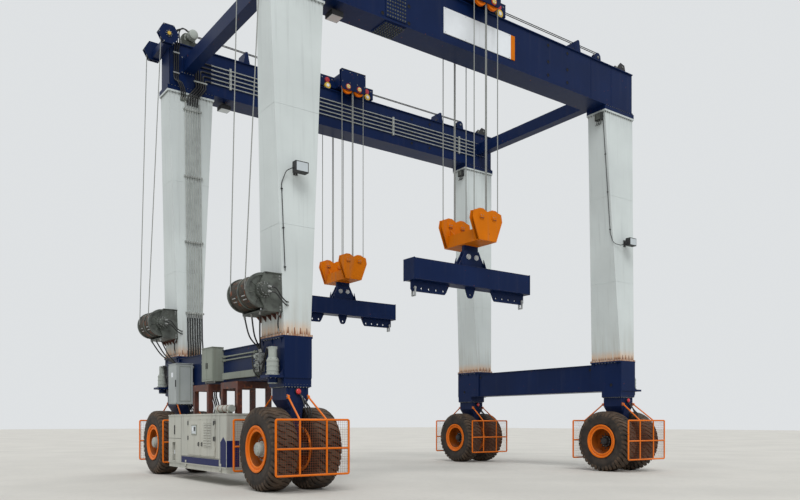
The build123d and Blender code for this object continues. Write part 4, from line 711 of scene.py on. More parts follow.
class CRANE_OT_tyres(CraneStep, bpy.types.Operator):
    """Twin tyres with deep slanted lugs, in place of the plain rings"""

    bl_idname = "crane.tyres"
    bl_label = "Tyres"

    def execute(self, context):
        for name, way, side in CORNERS:
            pivot = PIVOTS["roll_" + name]
            tyres = Shape("sidewall")
            for hand in (-1, 1):
                centre = pivot + Vector((hand * 0.51, 0, 0))
                self.carcass(tyres, centre)
                self.lugs(tyres, centre)
            piece = tyres.make("tyre_pair_" + name, "wheels_" + name)
            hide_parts("tyres_" + name)
        return {"FINISHED"}

    def carcass(self, tyres, centre):
        half = (
            (0.236, 0.462), (0.252, 0.474), (0.262, 0.50), (0.274, 0.512), (0.279, 0.545),
            (0.290, 0.60), (0.295, 0.665), (0.297, 0.675), (0.294, 0.685), (0.288, 0.735),
            (0.276, 0.775), (0.262, 0.803), (0.235, 0.822),
        )
        profile = [(-along, radius) for along, radius in half]
        tyres.turned(profile, centre, (1, 0, 0), 72)
        tyres.turned(half, centre, (1, 0, 0), 72)
        tread = [(-0.235, 0.822), (-0.12, 0.829), (0, 0.832), (0.12, 0.829), (0.235, 0.822)]
        tyres.turned(tread, centre, (1, 0, 0), 72, "groove")
        tyres.turned([(-0.236, 0.462), (0.236, 0.462)], centre, (1, 0, 0), 72)

    def lugs(self, tyres, centre):
        count = self.sizes.lug_count
        pitch = 2 * math.pi / count
        # along the axle, radius at the lug's top, radius below the groove, half width, slant
        stations = (
            (-0.012, 0.8745, 0.826, 0.47, -0.10),
            (0.085, 0.8750, 0.822, 0.43, 0.10),
            (0.165, 0.8735, 0.818, 0.375, 0.42),
            (0.222, 0.8650, 0.812, 0.345, 0.72),
            (0.258, 0.8420, 0.795, 0.335, 0.90),
            (0.281, 0.8000, 0.762, 0.30, 1.00),
            (0.291, 0.7500, 0.735, 0.20, 1.05),
        )
        for flank in (-1, 1):
            for lug in range(count):
                start = (lug + (0.5 if flank > 0 else 0.0)) * pitch
                points = []
                for along, top, base, half, slant in stations:
                    for radius, spread in ((base, 1.12), (top, 0.9)):
                        for edge in (-1, 1):
                            angle = start + (flank * slant + edge * half * spread) * pitch
                            spoke = Vector((0, math.cos(angle), math.sin(angle)))
                            points.append(centre + Vector((flank * along, 0, 0)) + spoke * radius)
                faces = [(0, 1, 3, 2)]
                for ring in range(len(stations) - 1):
                    a, b = ring * 4, ring * 4 + 4
                    faces += [(a + 2, a + 3, b + 3, b + 2), (a, a + 2, b + 2, b), (a + 1, b + 1, b + 3, a + 3)]
                end = len(stations) * 4 - 4
                faces.append((end, end + 2, end + 3, end + 1))
                tyres.add(points, faces, "lug")


class CRANE_OT_rims(CraneStep, bpy.types.Operator):
    """Dished rims: pale hub motors on the left side, deep wells with dark hubs on the right; the wells carry painted
    shade
    """

    bl_idname = "crane.rims"
    bl_label = "Rims"

    def execute(self, context):
        for name, way, side in CORNERS:
            pivot = PIVOTS["roll_" + name]
            rims = Shape("orange")
            for hand in (-1, 1):
                self.rim(rims, pivot, hand, way)
            piece = rims.make("wheel_rims_" + name, "wheels_" + name)
            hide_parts("rims_" + name)
        return {"FINISHED"}

    def rim(self, rims, pivot, hand, way):
        axis = (hand, 0, 0)
        driven = way < 0
        disc = 0.62 if driven else 0.50
        barrel = [
            (0.224, 0.43), (0.224, 0.475), (0.234, 0.485), (0.246, 0.475), (0.25, 0.458), (0.774, 0.458),
            (0.778, 0.478), (0.786, 0.489), (0.798, 0.489), (0.804, 0.478), (0.802, 0.455),
            (0.79, 0.438), (0.765, 0.432), (0.762, 0.418), (0.772, 0.410), (0.774, 0.372), (0.762, 0.36),
        ]
        rims.turned(barrel, pivot, axis, 64)
        # The recess's wall and floor take the dark orange: painted shade in the well
        recess = [(0.762, 0.36), (disc + 0.06, 0.348), (disc + 0.025, 0.338), (disc + 0.012, 0.32), (disc + 0.012, 0.165)]
        rims.turned(recess, pivot, axis, 64, "well")
        rims.turned([(0.224, 0.43), (disc - 0.02, 0.43), (disc - 0.02, 0.165)], pivot, axis, 48)
        face = Vector(pivot) + Vector(axis) * (disc + 0.012)
        if driven:
            rims.bolt_ring(face, axis, 0.235, 16, 0.03)
            cap = [
                (-0.10, 0.166), (0.035, 0.166), (0.04, 0.158), (0.04, 0.145), (0.118, 0.142),
                (0.128, 0.136), (0.13, 0.12), (0.148, 0.112), (0.152, 0.098), (0.152, 0.0),
            ]
            rims.turned(cap, face, axis, 40, "hub")
            rims.bolt_ring(face + Vector(axis) * 0.035, axis, 0.152, 12, 0.016)
            rims.bolt_ring(face + Vector(axis) * 0.15, axis, 0.085, 8, 0.014)
            valve = face + Vector((0, -0.30, 0.06))
            rims.tube([valve, valve + Vector((hand * 0.05, -0.03, 0)), valve + Vector((hand * 0.10, -0.035, 0))],
                      0.008, 6, "bolt")
        else:
            rims.bolt_ring(face, axis, 0.225, 12, 0.032, "dark")
            cap = [
                (-0.10, 0.17), (0.05, 0.17), (0.065, 0.16), (0.07, 0.128), (0.12, 0.12),
                (0.16, 0.092), (0.165, 0.06), (0.175, 0.055), (0.18, 0.0),
            ]
            rims.turned(cap, face, axis, 40, "dark")
            rims.bolt_ring(face + Vector(axis) * 0.066, axis, 0.145, 10, 0.018, "bolt")
        rims.turned([(0.16, 0.101), (0.16, 0.165), (disc - 0.02, 0.165)], pivot, axis, 32, "dark")


class CRANE_OT_guards(CraneStep, bpy.types.Operator):
    """Tube guards fore and aft of every pair of wheels, with welded wire and stays"""

    bl_idname = "crane.guards"
    bl_label = "Wheel guards"

    def execute(self, context):
        for name, way, side in CORNERS:
            pivot = PIVOTS["roll_" + name]
            guard = Shape("orange")
            for end in (-1, 1):
                self.panel(guard, pivot, end)
                self.stays(guard, pivot, end)
            piece = guard.make("guard_" + name, "bogie_" + name)
            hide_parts("cage_" + name)
        return {"FINISHED"}

    def panel(self, guard, pivot, end):
        sizes = self.sizes
        radius = sizes.guard_tube / 2
        y = pivot.y + end * 1.0
        low, middle_z, top = 0.37, 0.90, 1.48
        corner = 0.03
        loop = []
        for x, z, turn in ((0.835, top, 0), (-0.835, top, 1), (-0.835, low, 2), (0.835, low, 3)):
            for step in range(4):
                angle = math.radians(90 * turn + 30 * step)
                cx = x - math.copysign(corner, x)
                cz = z + (corner if z == low else -corner)
                loop.append((pivot.x + cx + corner * math.cos(angle), y, cz + corner * math.sin(angle)))
        guard.tube(loop + loop[:1], radius, 10, None, False)
        guard.tube([(pivot.x - 0.835, y, middle_z), (pivot.x + 0.835, y, middle_z)], radius * 0.9, 10)
        for across in (-0.31, 0.31):
            guard.tube([(pivot.x + across, y, low), (pivot.x + across, y, top)], radius * 0.9, 10)
        wire = sizes.wire / 2
        back = y + end * 0.012
        count = int(1.67 / sizes.wire_pitch)
        for step in range(1, count):
            x = pivot.x - 0.835 + 1.67 * step / count
            guard.tube([(x, back, low), (x, back, top)], wire, 4, "wire", False)
        count = int((top - low) / sizes.wire_pitch)
        for step in range(1, count):
            z = low + (top - low) * step / count
            ends = [(pivot.x - 0.835, back + 2 * wire, z), (pivot.x + 0.835, back + 2 * wire, z)]
            guard.tube(ends, wire, 4, "wire", False)

    def stays(self, guard, pivot, end):
        radius = self.sizes.guard_tube / 2
        for across in (-1, 1):
            foot = Vector((pivot.x + across * 0.31, pivot.y + end * 1.0, 1.48))
            head = Vector((pivot.x + across * 0.237, pivot.y + end * 0.366, 1.96))
            guard.tube([foot, head], radius * 0.85, 10)
            guard.disc(head - Vector((0.02, 0, 0)), (1, 0, 0), 0.036, 0.04, 16)
            lug = [(head.y, head.z + 0.03), (head.y, head.z - 0.03)]
            wall = pivot.y + end * 0.319
            lug += [(wall, head.z - 0.05), (wall, head.z + 0.05)]
            guard.plate(lug, "x", head.x - 0.010, head.x + 0.010)
            guard.bolt(head + Vector((0.02, 0, 0)), (1, 0, 0), 0.026, 0.014)
            guard.bolt(head - Vector((0.02, 0, 0)), (-1, 0, 0), 0.026, 0.014)


class CRANE_OT_yokes(CraneStep, bpy.types.Operator):
    """Finish of the yokes, with bolts round the turn plate, a red lamp and hydraulic lines"""

    bl_idname = "crane.yokes"
    bl_label = "Yokes"

    def execute(self, context):
        for name, way, side in CORNERS:
            dress("navy", "yoke_" + name)
            pivot = PIVOTS["roll_" + name]
            detail = Shape("navy")
            low, high = pivot.z + 1.295, pivot.z + 1.345
            for end in (-1, 1):
                edge = pivot.y + end * 0.32
                row = (pivot.x - 0.27, pivot.y + end * 0.335, low)
                detail.bolt_row(row, (pivot.x + 0.27, row[1], low), 9, (0, 0, -1), 0.03)
                for across in (-1, 0, 1):
                    x = pivot.x + across * 0.19
                    rib = [(edge, low), (edge + end * 0.024, low), (edge, low - 0.14)]
                    detail.plate(rib, "x", x - 0.008, x + 0.008)
                face = pivot.x + end * 0.26
                start = (face + end * 0.03, pivot.y - 0.27, low)
                detail.bolt_row(start, (start[0], pivot.y + 0.27, low), 9, (0, 0, -1), 0.03)
            self.lamp(detail, pivot)
            self.seams(detail, pivot)
            for step in (-0.06, 0.0, 0.06):
                neck = Vector((pivot.x + 0.10 + step, pivot.y - 0.322, 1.98 - step))
                detail.hose([neck, neck + Vector((0.02, -0.09, -0.10)), neck + Vector((0.05, -0.22, -0.34 + step)),
                             neck + Vector((0.03 - step, -0.16, -0.52)), neck + Vector((0.0, 0.04, -0.68))], 0.014)
            detail.make("yoke_detail_" + name, "bogie_" + name)
        return {"FINISHED"}

    def lamp(self, detail, pivot):
        face = Vector((pivot.x, pivot.y - 0.320, 2.07))
        rim = [(0.0, 0.0), (0.0, 0.064), (0.052, 0.064), (0.056, 0.058), (0.056, 0.0)]
        detail.turned(rim, face, (0, -1, 0), 24, "dark")
        lens = [(0.05, 0.060), (0.062, 0.058), (0.072, 0.048), (0.079, 0.028), (0.081, 0.0)]
        detail.turned(lens, face, (0, -1, 0), 24, "red")

    def seams(self, detail, pivot):
        """Weld beads along the web's edges, and the axle's clamp plates."""
        for hand in (-1, 1):
            x = pivot.x + hand * 0.13
            for end in (-1, 1):
                path = [(x, pivot.y + end * 0.293, 1.69), (x, pivot.y + end * 0.168, 1.0)]
                detail.tube(path, 0.007, 6)
            collar = [(0, 0.0), (0, 0.148), (0.02, 0.148), (0.026, 0.14), (0.026, 0.0)]
            detail.turned(collar, (x, pivot.y, pivot.z), (hand, 0, 0), 32)
            detail.bolt_ring((x + hand * 0.024, pivot.y, pivot.z), (hand, 0, 0), 0.126, 12, 0.02)


class CRANE_OT_saddles(CraneStep, bpy.types.Operator):
    """Finish of the saddle beams, with flange bolts, hand holes and steps"""

    bl_idname = "crane.saddles"
    bl_label = "Saddle beams"

    def execute(self, context):
        bolt = self.sizes.bolt
        for name, way in (("left", -1), ("right", 1)):
            dress("navy", "saddle_" + name)
            x = MID_X + way * STATION_X
            detail = Shape("navy")
            for side in (-1, 1):
                y = side * GIRDER_Y
                for edge in (-1, 1):
                    out_x = x + edge * 0.335
                    detail.bolt_row((out_x, y - 0.45, 3.27), (out_x, y + 0.45, 3.27), 9, (0, 0, 1), bolt * 0.8)
                    detail.bolt_row((out_x, y - 0.34, 3.19), (out_x, y + 0.34, 3.19), 7, (0, 0, -1), bolt * 0.8)
                for edge in (-1, 1):
                    row_y = side * 3.28 + edge * 0.33
                    detail.bolt_row((x - 0.29, row_y, 2.22), (x + 0.29, row_y, 2.22), 9, (0, 0, -1), bolt * 0.7)
                inner_y = side * (3.28 - 0.74)
                for edge in (-1, 1):
                    rib = [(x + edge * SADDLE_HALF_X, 2.37), (x + edge * BASE_HALF_X, 2.37),
                           (x + edge * BASE_HALF_X, 3.16), (x + edge * SADDLE_HALF_X, 3.16)]
                    detail.plate(rib, "y", inner_y - side * 0.012, inner_y)
            for y, z in ((-2.47, 3.02), (-3.28, 2.53), (2.47, 3.02), (3.28, 2.53)):
                half = BASE_HALF_X if abs(y) > 2.6 else SADDLE_HALF_X
                for edge in (-1, 1):
                    if way * edge > 0 and abs(y) > 2.6:
                        continue
                    ring = [(0, 0.046), (0.008, 0.046), (0.008, 0.060), (0, 0.060)]
                    detail.turned(ring, (x + edge * half, y, z), (edge, 0, 0), 24)
                    # Near-black disc in the hole: painted shade inside the saddle beam
                    detail.disc((x + edge * half, y, z), (edge, 0, 0), 0.046, 0.0015, 24, "hole")
            for edge in (-1, 1):
                inner, outer = x + edge * SADDLE_HALF_X, x + edge * (SADDLE_HALF_X + 0.03)
                detail.box((inner, -2.54, 3.142), (outer, 2.54, 3.16))
                detail.box((inner, -2.54, 2.35), (outer, 2.54, 2.37))
            detail.make("saddle_detail_" + name, "portal")
        return {"FINISHED"}


class CRANE_OT_legs(CraneStep, bpy.types.Operator):
    """Finish of the legs, with flange bolts, weld seams and rusty stiffeners at the foot"""

    bl_idname = "crane.legs"
    bl_label = "Legs"

    def execute(self, context):
        bolt = self.sizes.bolt
        for name, way, side in CORNERS:
            dress("leg", "leg_" + name)
            detail = Shape("leg")
            x = MID_X + way * STATION_X
            y = side * GIRDER_Y
            head_x = x - way * 0.105
            for edge in (-1, 1):
                row_y = y + edge * 0.325
                for step in range(15):
                    place = (head_x + (step - 7) * 0.088, row_y, LEG_HEAD_Z)
                    detail.bolt(place, (0, 0, -1), bolt * 0.6, bolt)
                for step in range(7):
                    place = (head_x + edge * 0.65, y + (step - 3) * 0.09, LEG_HEAD_Z)
                    detail.bolt(place, (0, 0, -1), bolt * 0.6, bolt)
                for step in (-0.4, -0.13, 0.13, 0.4):
                    foot = y + edge * 0.53
                    tip = y + edge * 0.545
                    mid = x + step * 0.55
                    rib = [(foot, 3.27), (tip, 3.27), (foot, 3.40)]
                    detail.plate(rib, "x", mid - 0.008, mid + 0.008, "rusty")
            for z in (5.55, 8.05):
                self.seam(detail, x, y, z, way)
            detail.make("leg_detail_" + name, "portal")
        return {"FINISHED"}

    def seam(self, detail, x, y, z, way):
        """A flat weld bead right round the leg."""
        share = leg_share(z)
        outer = 0.31 + 0.22 * share
        inner = 0.31 + 0.43 * share
        half = 0.53 - 0.22 * share
        x0, x1 = x - way * inner, x + way * outer
        corners = [(x0, y - half, z), (x1, y - half, z), (x1, y + half, z), (x0, y + half, z), (x0, y - half, z)]
        detail.tube(corners, 0.0055, 6, None, False)


class CRANE_OT_girders(CraneStep, bpy.types.Operator):
    """Finish of the girders and cross beams, with the blank sign, splice bolts and hand holes"""

    bl_idname = "crane.girders"
    bl_label = "Girders"

    def execute(self, context):
        dress("navy", "girder_near", "girder_far", "cross_beam_left", "cross_beam_right")
        self.sign()
        bolt = self.sizes.bolt
        for name, side in SIDES:
            detail = Shape("navy")
            y = side * GIRDER_Y
            for edge in (-1, 1):
                face = y + edge * WEB_Y
                holes = ((-3.15, 10.80), (-2.40, 11.19), (-2.40, 10.79), (2.33, 11.68), (3.1, 11.68),
                         (2.33, 11.23), (3.1, 11.23), (2.33, 10.87), (3.1, 10.87))
                for hole_x, z in holes:
                    self.hole(detail, hole_x, face, z, edge)
                self.splice(detail, -2.77, face, edge)
                for stiffener in (-5.0, -4.1, 4.1, 5.0):
                    path = [portal(stiffener, face, 10.70), portal(stiffener, face, 11.82)]
                    detail.tube(path, 0.006, 6)
                row = portal(-5.9, y + edge * 0.335, GIRDER_BOTTOM)
                detail.bolt_row(row, portal(-4.75, row.y, row.z), 14, (0, 0, -1), bolt * 0.6)
                row = portal(4.75, y + edge * 0.335, GIRDER_BOTTOM)
                detail.bolt_row(row, portal(5.9, row.y, row.z), 14, (0, 0, -1), bolt * 0.6)
            self.under_splice(detail, -2.77, y)
            for edge in (-1, 1):
                y0 = y + edge * 0.235
                detail.box(portal(-5.0, y0 - 0.02, GIRDER_TOP), portal(5.2, y0 + 0.02, GIRDER_TOP + 0.014), "dark")
            for end in (-1, 1):
                x = end * 5.96
                detail.box(portal(x + end * 0.003, y - WEB_Y, 10.70), portal(x - end * 0.012, y + WEB_Y, 11.83))
            detail.make("girder_detail_" + name, "portal")
        joints = Shape("navy")
        for way in (-1, 1):
            x = MID_X + way * 5.42
            for side in (-1, 1):
                wall = side * (GIRDER_Y - WEB_Y)
                for across in (-1, 1):
                    edge = x + across * 0.15
                    gusset = [(wall, 11.46), (wall, 11.11), (wall - side * 0.28, 11.46)]
                    joints.plate(gusset, "x", edge - 0.01, edge + 0.01)
                joints.box((x - 0.22, wall - side * 0.02, 11.05), (x + 0.22, wall, 11.52))
                for z in (11.08, 11.49):
                    row = (x - 0.19, wall - side * 0.02, z)
                    joints.bolt_row(row, (x + 0.19, row[1], z), 6, (0, -side, 0), bolt * 0.6)
        joints.make("cross_beam_detail", "portal")
        return {"FINISHED"}

    def hole(self, detail, x, face, z, edge):
        ring = [(0, 0.045), (0.006, 0.045), (0.006, 0.056), (0, 0.056)]
        detail.turned(ring, portal(x, face, z), (0, edge, 0), 20)
        # Near-black disc in the hole: painted shade inside the girder
        detail.disc(portal(x, face, z), (0, edge, 0), 0.045, 0.0015, 20, "hole")

    def splice(self, detail, x, face, edge):
        low, high = portal(x - 0.30, face, 10.75), portal(x + 0.30, face + edge * 0.016, 11.68)
        detail.box(low, high)
        for row in range(11):
            z = 10.79 + row * 0.085
            start = portal(x - 0.25, face + edge * 0.016, z)
            detail.bolt_row(start, portal(x + 0.25, start.y, z), 8, (0, edge, 0), 0.03, "winch")

    def under_splice(self, detail, x, y):
        """A bolted plate under the girder's joint."""
        low = GIRDER_BOTTOM - 0.016
        detail.box(portal(x - 0.30, y - 0.30, low), portal(x + 0.30, y + 0.30, GIRDER_BOTTOM))
        for row in range(7):
            across = y + (row - 3) * 0.085
            start, end = portal(x - 0.25, across, low), portal(x + 0.25, across, low)
            for step in range(8):
                detail.bolt(start.lerp(end, step / 7), (0, 0, -1), 0.03, 0.03, "winch")

    def sign(self):
        sign = Shape("sign")
        face = -GIRDER_Y - WEB_Y
        sign.box(portal(-1.35, face, 10.89), portal(0.90, face - 0.02, 11.52))
        sign.box(portal(0.90, face, 10.89), portal(1.05, face - 0.02, 11.52), "block")
        for x in (-1.31, -0.65, 0.05, 0.85):
            for z in (10.92, 11.49):
                sign.disc(portal(x, face - 0.02, z), (0, -1, 0), 0.011, 0.004, 10, "bolt")
        sign.make("sign_plate", "portal", 0.003)


class CRANE_OT_trolleys(CraneStep, bpy.types.Operator):
    """Trolleys: finish, axle caps, rail wheels and grooved upper sheaves"""

    bl_idname = "crane.trolleys"
    bl_label = "Trolleys"

    def execute(self, context):
        for name, side in SIDES:
            dress("navy", "trolley_" + name)
            body = "trolley_body_" + name
            x, y = middle("trolley_" + name).x, side * GIRDER_Y
            detail = Shape("navy")
            for way in (-1, 1):
                wheel_x = x + way * 0.74
                for hand in (-1, 1):
                    face = y + hand * 0.26
                    cap = (wheel_x, face, 12.145)
                    ring = [(0, 0.0), (0, 0.088), (0.03, 0.088), (0.04, 0.078), (0.042, 0.03), (0.05, 0.0)]
                    detail.turned(ring, cap, (0, hand, 0), 28, "cap_red")
                    for step in (-0.19, 0.17):
                        detail.bolt((wheel_x + way * step, face, 12.2), (0, hand, 0), 0.03)
                end = x + way * 1.0
                detail.box((end + way * 0.004, y - 0.20, 12.0), (end - way * 0.012, y + 0.20, 12.22), "navy")
                inner = x + way * 0.48
                detail.box((inner, y - 0.262, 12.272), (end + way * 0.002, y + 0.262, 12.286), "dark")
            for hand in (-1, 1):
                plane = y + hand * 0.667
                lid = [(x - 0.445, 12.436), (x + 0.445, 12.436), (x + 0.445, 12.452), (x - 0.445, 12.452)]
                detail.plate(lid, "y", y + hand * 0.533, y + hand * 0.675, "dark")
                for offset in (-0.205, 0.205):
                    self.hub(detail, (x + offset, plane, 11.93), hand)
                for row_z in (12.06, 12.38):
                    detail.bolt_row((x - 0.41, plane, row_z), (x + 0.41, plane, row_z), 4, (0, hand, 0), 0.022)
            detail.make("trolley_detail_" + name, body)
            gear = Shape("orange")
            for hand in (-1, 1):
                for offset in (-0.205, 0.205):
                    grooved_sheave(gear, (x + offset, y + hand * 0.60, 11.93), 0.176, 0.062)
                for way in (-1, 1):
                    centre = (x + way * 0.74, y + hand * 0.2953, 11.955)
                    tread = [(-0.035, 0.0), (-0.035, 0.098), (0.02, 0.098), (0.024, 0.1), (0.035, 0.1), (0.035, 0.0)]
                    gear.turned(tread, centre, (0, hand, 0), 32, "yellow")
                    gear.disc((centre[0], y + hand * 0.33, 11.955), (0, hand, 0), 0.05, 0.012, 20, "sign", 0.004)
            piece = gear.make("trolley_gear_" + name, body)
            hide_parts("trolley_sheaves_" + name)
        return {"FINISHED"}

    def hub(self, detail, centre, hand):
        ring = [(0, 0.0), (0, 0.088), (0.012, 0.088), (0.012, 0.07), (0.012, 0.0)]
        detail.turned(ring, centre, (0, hand, 0), 28, "cap_red")
        top = Vector(centre) + Vector((0, hand * 0.012, 0))
        boss = [(0, 0.0), (0, 0.066), (0.012, 0.066), (0.016, 0.06), (0.016, 0.0)]
        detail.turned(boss, top, (0, hand, 0), 28, "yellow")
        detail.bolt_ring(top + Vector((0, hand * 0.014, 0)), (0, hand, 0), 0.042, 4, 0.02, "sign")


def grooved_sheave(shape, centre, radius, width):
    """A rope sheave with a groove, web and hub, turned about Y."""
    half = width / 2
    profile = [
        (-half, 0.038), (-half, 0.075), (-half * 0.4, 0.08), (-half * 0.4, radius - 0.045), (-half, radius - 0.03),
        (-half, radius + 0.022), (-0.022, radius + 0.022), (-0.0125, radius - 0.001), (0.0125, radius - 0.001),
        (0.022, radius + 0.022), (half, radius + 0.022), (half, radius - 0.03), (half * 0.4, radius - 0.045),
        (half * 0.4, 0.08), (half, 0.075), (half, 0.038), (-half, 0.038),
    ]
    shape.turned(profile, centre, (0, 1, 0), 40)


class CRANE_OT_ropes(CraneStep, bpy.types.Operator):
    """Finish of the falls and hoist ropes, and the drag ropes along the girders' tops"""

    bl_idname = "crane.ropes"
    bl_label = "Ropes"

    def execute(self, context):
        dress("rope", "winch_ropes")
        for name, side in SIDES:
            self.falls(name)
            y = side * GIRDER_Y
            x = middle("trolley_" + name).x
            spans = (("right", x + 1.0, MID_X + 4.70, 12.262, 12.262), ("left", x - 1.0, MID_X - 5.33, 12.262, 12.349))
            for word, start, end, z0, z1 in spans:
                for hand in (-1, 1):
                    rope = Shape("hose")
                    line = y + hand * 0.03
                    a, b = Vector((end, line, z1)), Vector((start, line, z0))
                    path = [a.lerp(b, step / 24) for step in range(25)]
                    rope.tube(path, 0.012, 6)
                    piece = rope.make("drag_rope_%s_%s_%d" % (name, word, hand + 1), "portal")
                    self.stretch(piece, "portal", "trolley_body_" + name, a, b)
        return {"FINISHED"}

    def falls(self, name):
        """The eight rope parts of a hoist, which stretch between the trolley and the lower block."""
        low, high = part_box("falls_" + name)
        centre = middle("falls_" + name)
        falls = Shape("rope")
        for hand in (-1, 1):
            for sheave in (-0.205, 0.205):
                for edge in (-0.1883, 0.1883):
                    x, y = centre.x + sheave + edge, centre.y + hand * 0.60
                    foot, head = Vector((x, y, low.z)), Vector((x, y, high.z))
                    falls.tube([foot.lerp(head, step / 40) for step in range(41)], self.sizes.rope / 2, 8)
        piece = falls.make("fall_ropes_" + name, "trolley_body_" + name)
        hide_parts("falls_" + name)
        head, foot = Vector((centre.x, centre.y, high.z - 0.2)), Vector((centre.x, centre.y, low.z + 0.2))
        self.stretch(piece, "trolley_body_" + name, "hook_" + name, head, foot)

    def stretch(self, piece, first, second, start, end):
        """Takes a rope off its body and bakes its place into its mesh."""
        piece.parent = None
        del piece["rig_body"]
        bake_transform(piece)


class CRANE_OT_blocks(CraneStep, bpy.types.Operator):
    """Lower blocks: orange finish with pin bosses, keeper plates and rims"""

    bl_idname = "crane.blocks"
    bl_label = "Lower blocks"

    def execute(self, context):
        for name, side in SIDES:
            dress("block", "lower_block_" + name)
            x, y = middle("lower_block_" + name).x, side * GIRDER_Y
            detail = Shape("block")
            for hand in (-1, 1):
                for cheek in (-1, 1):
                    face = y + hand * 0.60 + cheek * 0.067
                    for offset in (-0.205, 0.205):
                        centre = (x + offset, face, 6.52)
                        boss = [(0, 0.0), (0, 0.088), (0.010, 0.088), (0.014, 0.08), (0.014, 0.052), (0.022, 0.05), (0.022, 0.0)]
                        detail.turned(boss, centre, (0, cheek, 0), 28)
                        keeper = [(x + offset - 0.055, 6.462), (x + offset + 0.055, 6.462),
                                  (x + offset + 0.055, 6.478), (x + offset - 0.055, 6.478)]
                        detail.plate(keeper, "y", face + cheek * 0.014, face + cheek * 0.028, "rusty")
                        for step in (-0.036, 0.036):
                            place = (x + offset + step, face + cheek * 0.022, 6.53)
                            detail.bolt(place, (0, cheek, 0), 0.02)
                    self.rim(detail, x, face, cheek)
            low = 5.93
            for hand in (-1, 1):
                wall = y + hand * 0.533
                web = [(wall, 6.225), (wall, 6.42), (wall - hand * 0.20, 6.225)]
                for place in (x - 0.20, x + 0.20):
                    detail.plate(web, "x", place - 0.011, place + 0.011)
            detail.box((x - 0.235, y - 0.30, low + 0.298), (x + 0.235, y + 0.30, low + 0.312))
            collar = [(x - 0.26, low), (x + 0.26, low), (x + 0.24, low - 0.016), (x - 0.24, low - 0.016)]
            detail.plate(collar, "y", y - 0.10, y + 0.10)
            detail.box((x - 0.231, y - 0.0458, 5.535), (x + 0.231, y + 0.0458, 5.926), "navy")
            detail.make("block_detail_" + name, "hook_" + name)
        return {"FINISHED"}

    def rim(self, detail, x, face, cheek):
        """A welded strip round a cheek's edge."""
        side = [(0.449, 6.635), (0.484, 6.46), (0.285, 5.937)]
        outline = side + [(-a, z) for a, z in reversed(side)]
        path = [(x + a, face, z) for a, z in outline]
        detail.tube(path, 0.006, 6)


class CRANE_OT_beams(CraneStep, bpy.types.Operator):
    """Lifting beams: finish, end plates, welds, pin washers and shackle nuts"""

    bl_idname = "crane.beams"
    bl_label = "Lifting beams"

    def execute(self, context):
        for name, side in SIDES:
            dress("navy", "lifting_beam_" + name)
            dress("steel", "beam_pins_" + name)
            x, y = middle("lifting_beam_" + name).x, side * GIRDER_Y
            detail = Shape("navy")
            for way in (-1, 1):
                end = x + way * 1.945
                detail.box((end - way * 0.016, y - 0.222, 4.842), (end + way * 0.003, y + 0.222, 5.37))
                for hand in (-1, 1):
                    bead = [(x + way * 1.92, y + hand * 0.21, 4.857), (x + way * 0.02, y + hand * 0.21, 4.857)]
                    detail.tube(bead, 0.006, 6)
                    bead = [(x + way * 1.92, y + hand * 0.21, 5.354), (x + way * 0.02, y + hand * 0.21, 5.354)]
                    detail.tube(bead, 0.006, 6)
                    rib_x = x + way * 0.38
                    rib = [(y + hand * 0.094, 5.36), (y + hand * 0.20, 5.36), (y + hand * 0.094, 5.60)]
                    detail.plate(rib, "x", rib_x - 0.009, rib_x + 0.009)
                for hand in (-1, 1):
                    detail.box((x + way * 0.80, y + hand * 0.025, 4.84), (x + way * 1.90, y + hand * 0.06, 4.852), "navy")
            for offset in (-0.13, 0.13):
                for hand in (-1, 1):
                    centre = (x + offset, y + hand * 0.092, 5.62)
                    plate = [(0, 0.0), (0, 0.068), (0.010, 0.068), (0.014, 0.064), (0.014, 0.0)]
                    detail.turned(plate, centre, (0, hand, 0), 28, "sign")
                    detail.bolt_ring((centre[0], centre[1] + hand * 0.012, 5.62), (0, hand, 0), 0.034, 3, 0.016)
            eye = [(x - 0.03, 5.37), (x + 0.03, 5.37), (x + 0.03, 5.36), (x - 0.03, 5.36)]
            detail.plate(eye, "y", y - 0.2, y + 0.2)
            detail.make("beam_detail_" + name, "hook_" + name)
        return {"FINISHED"}


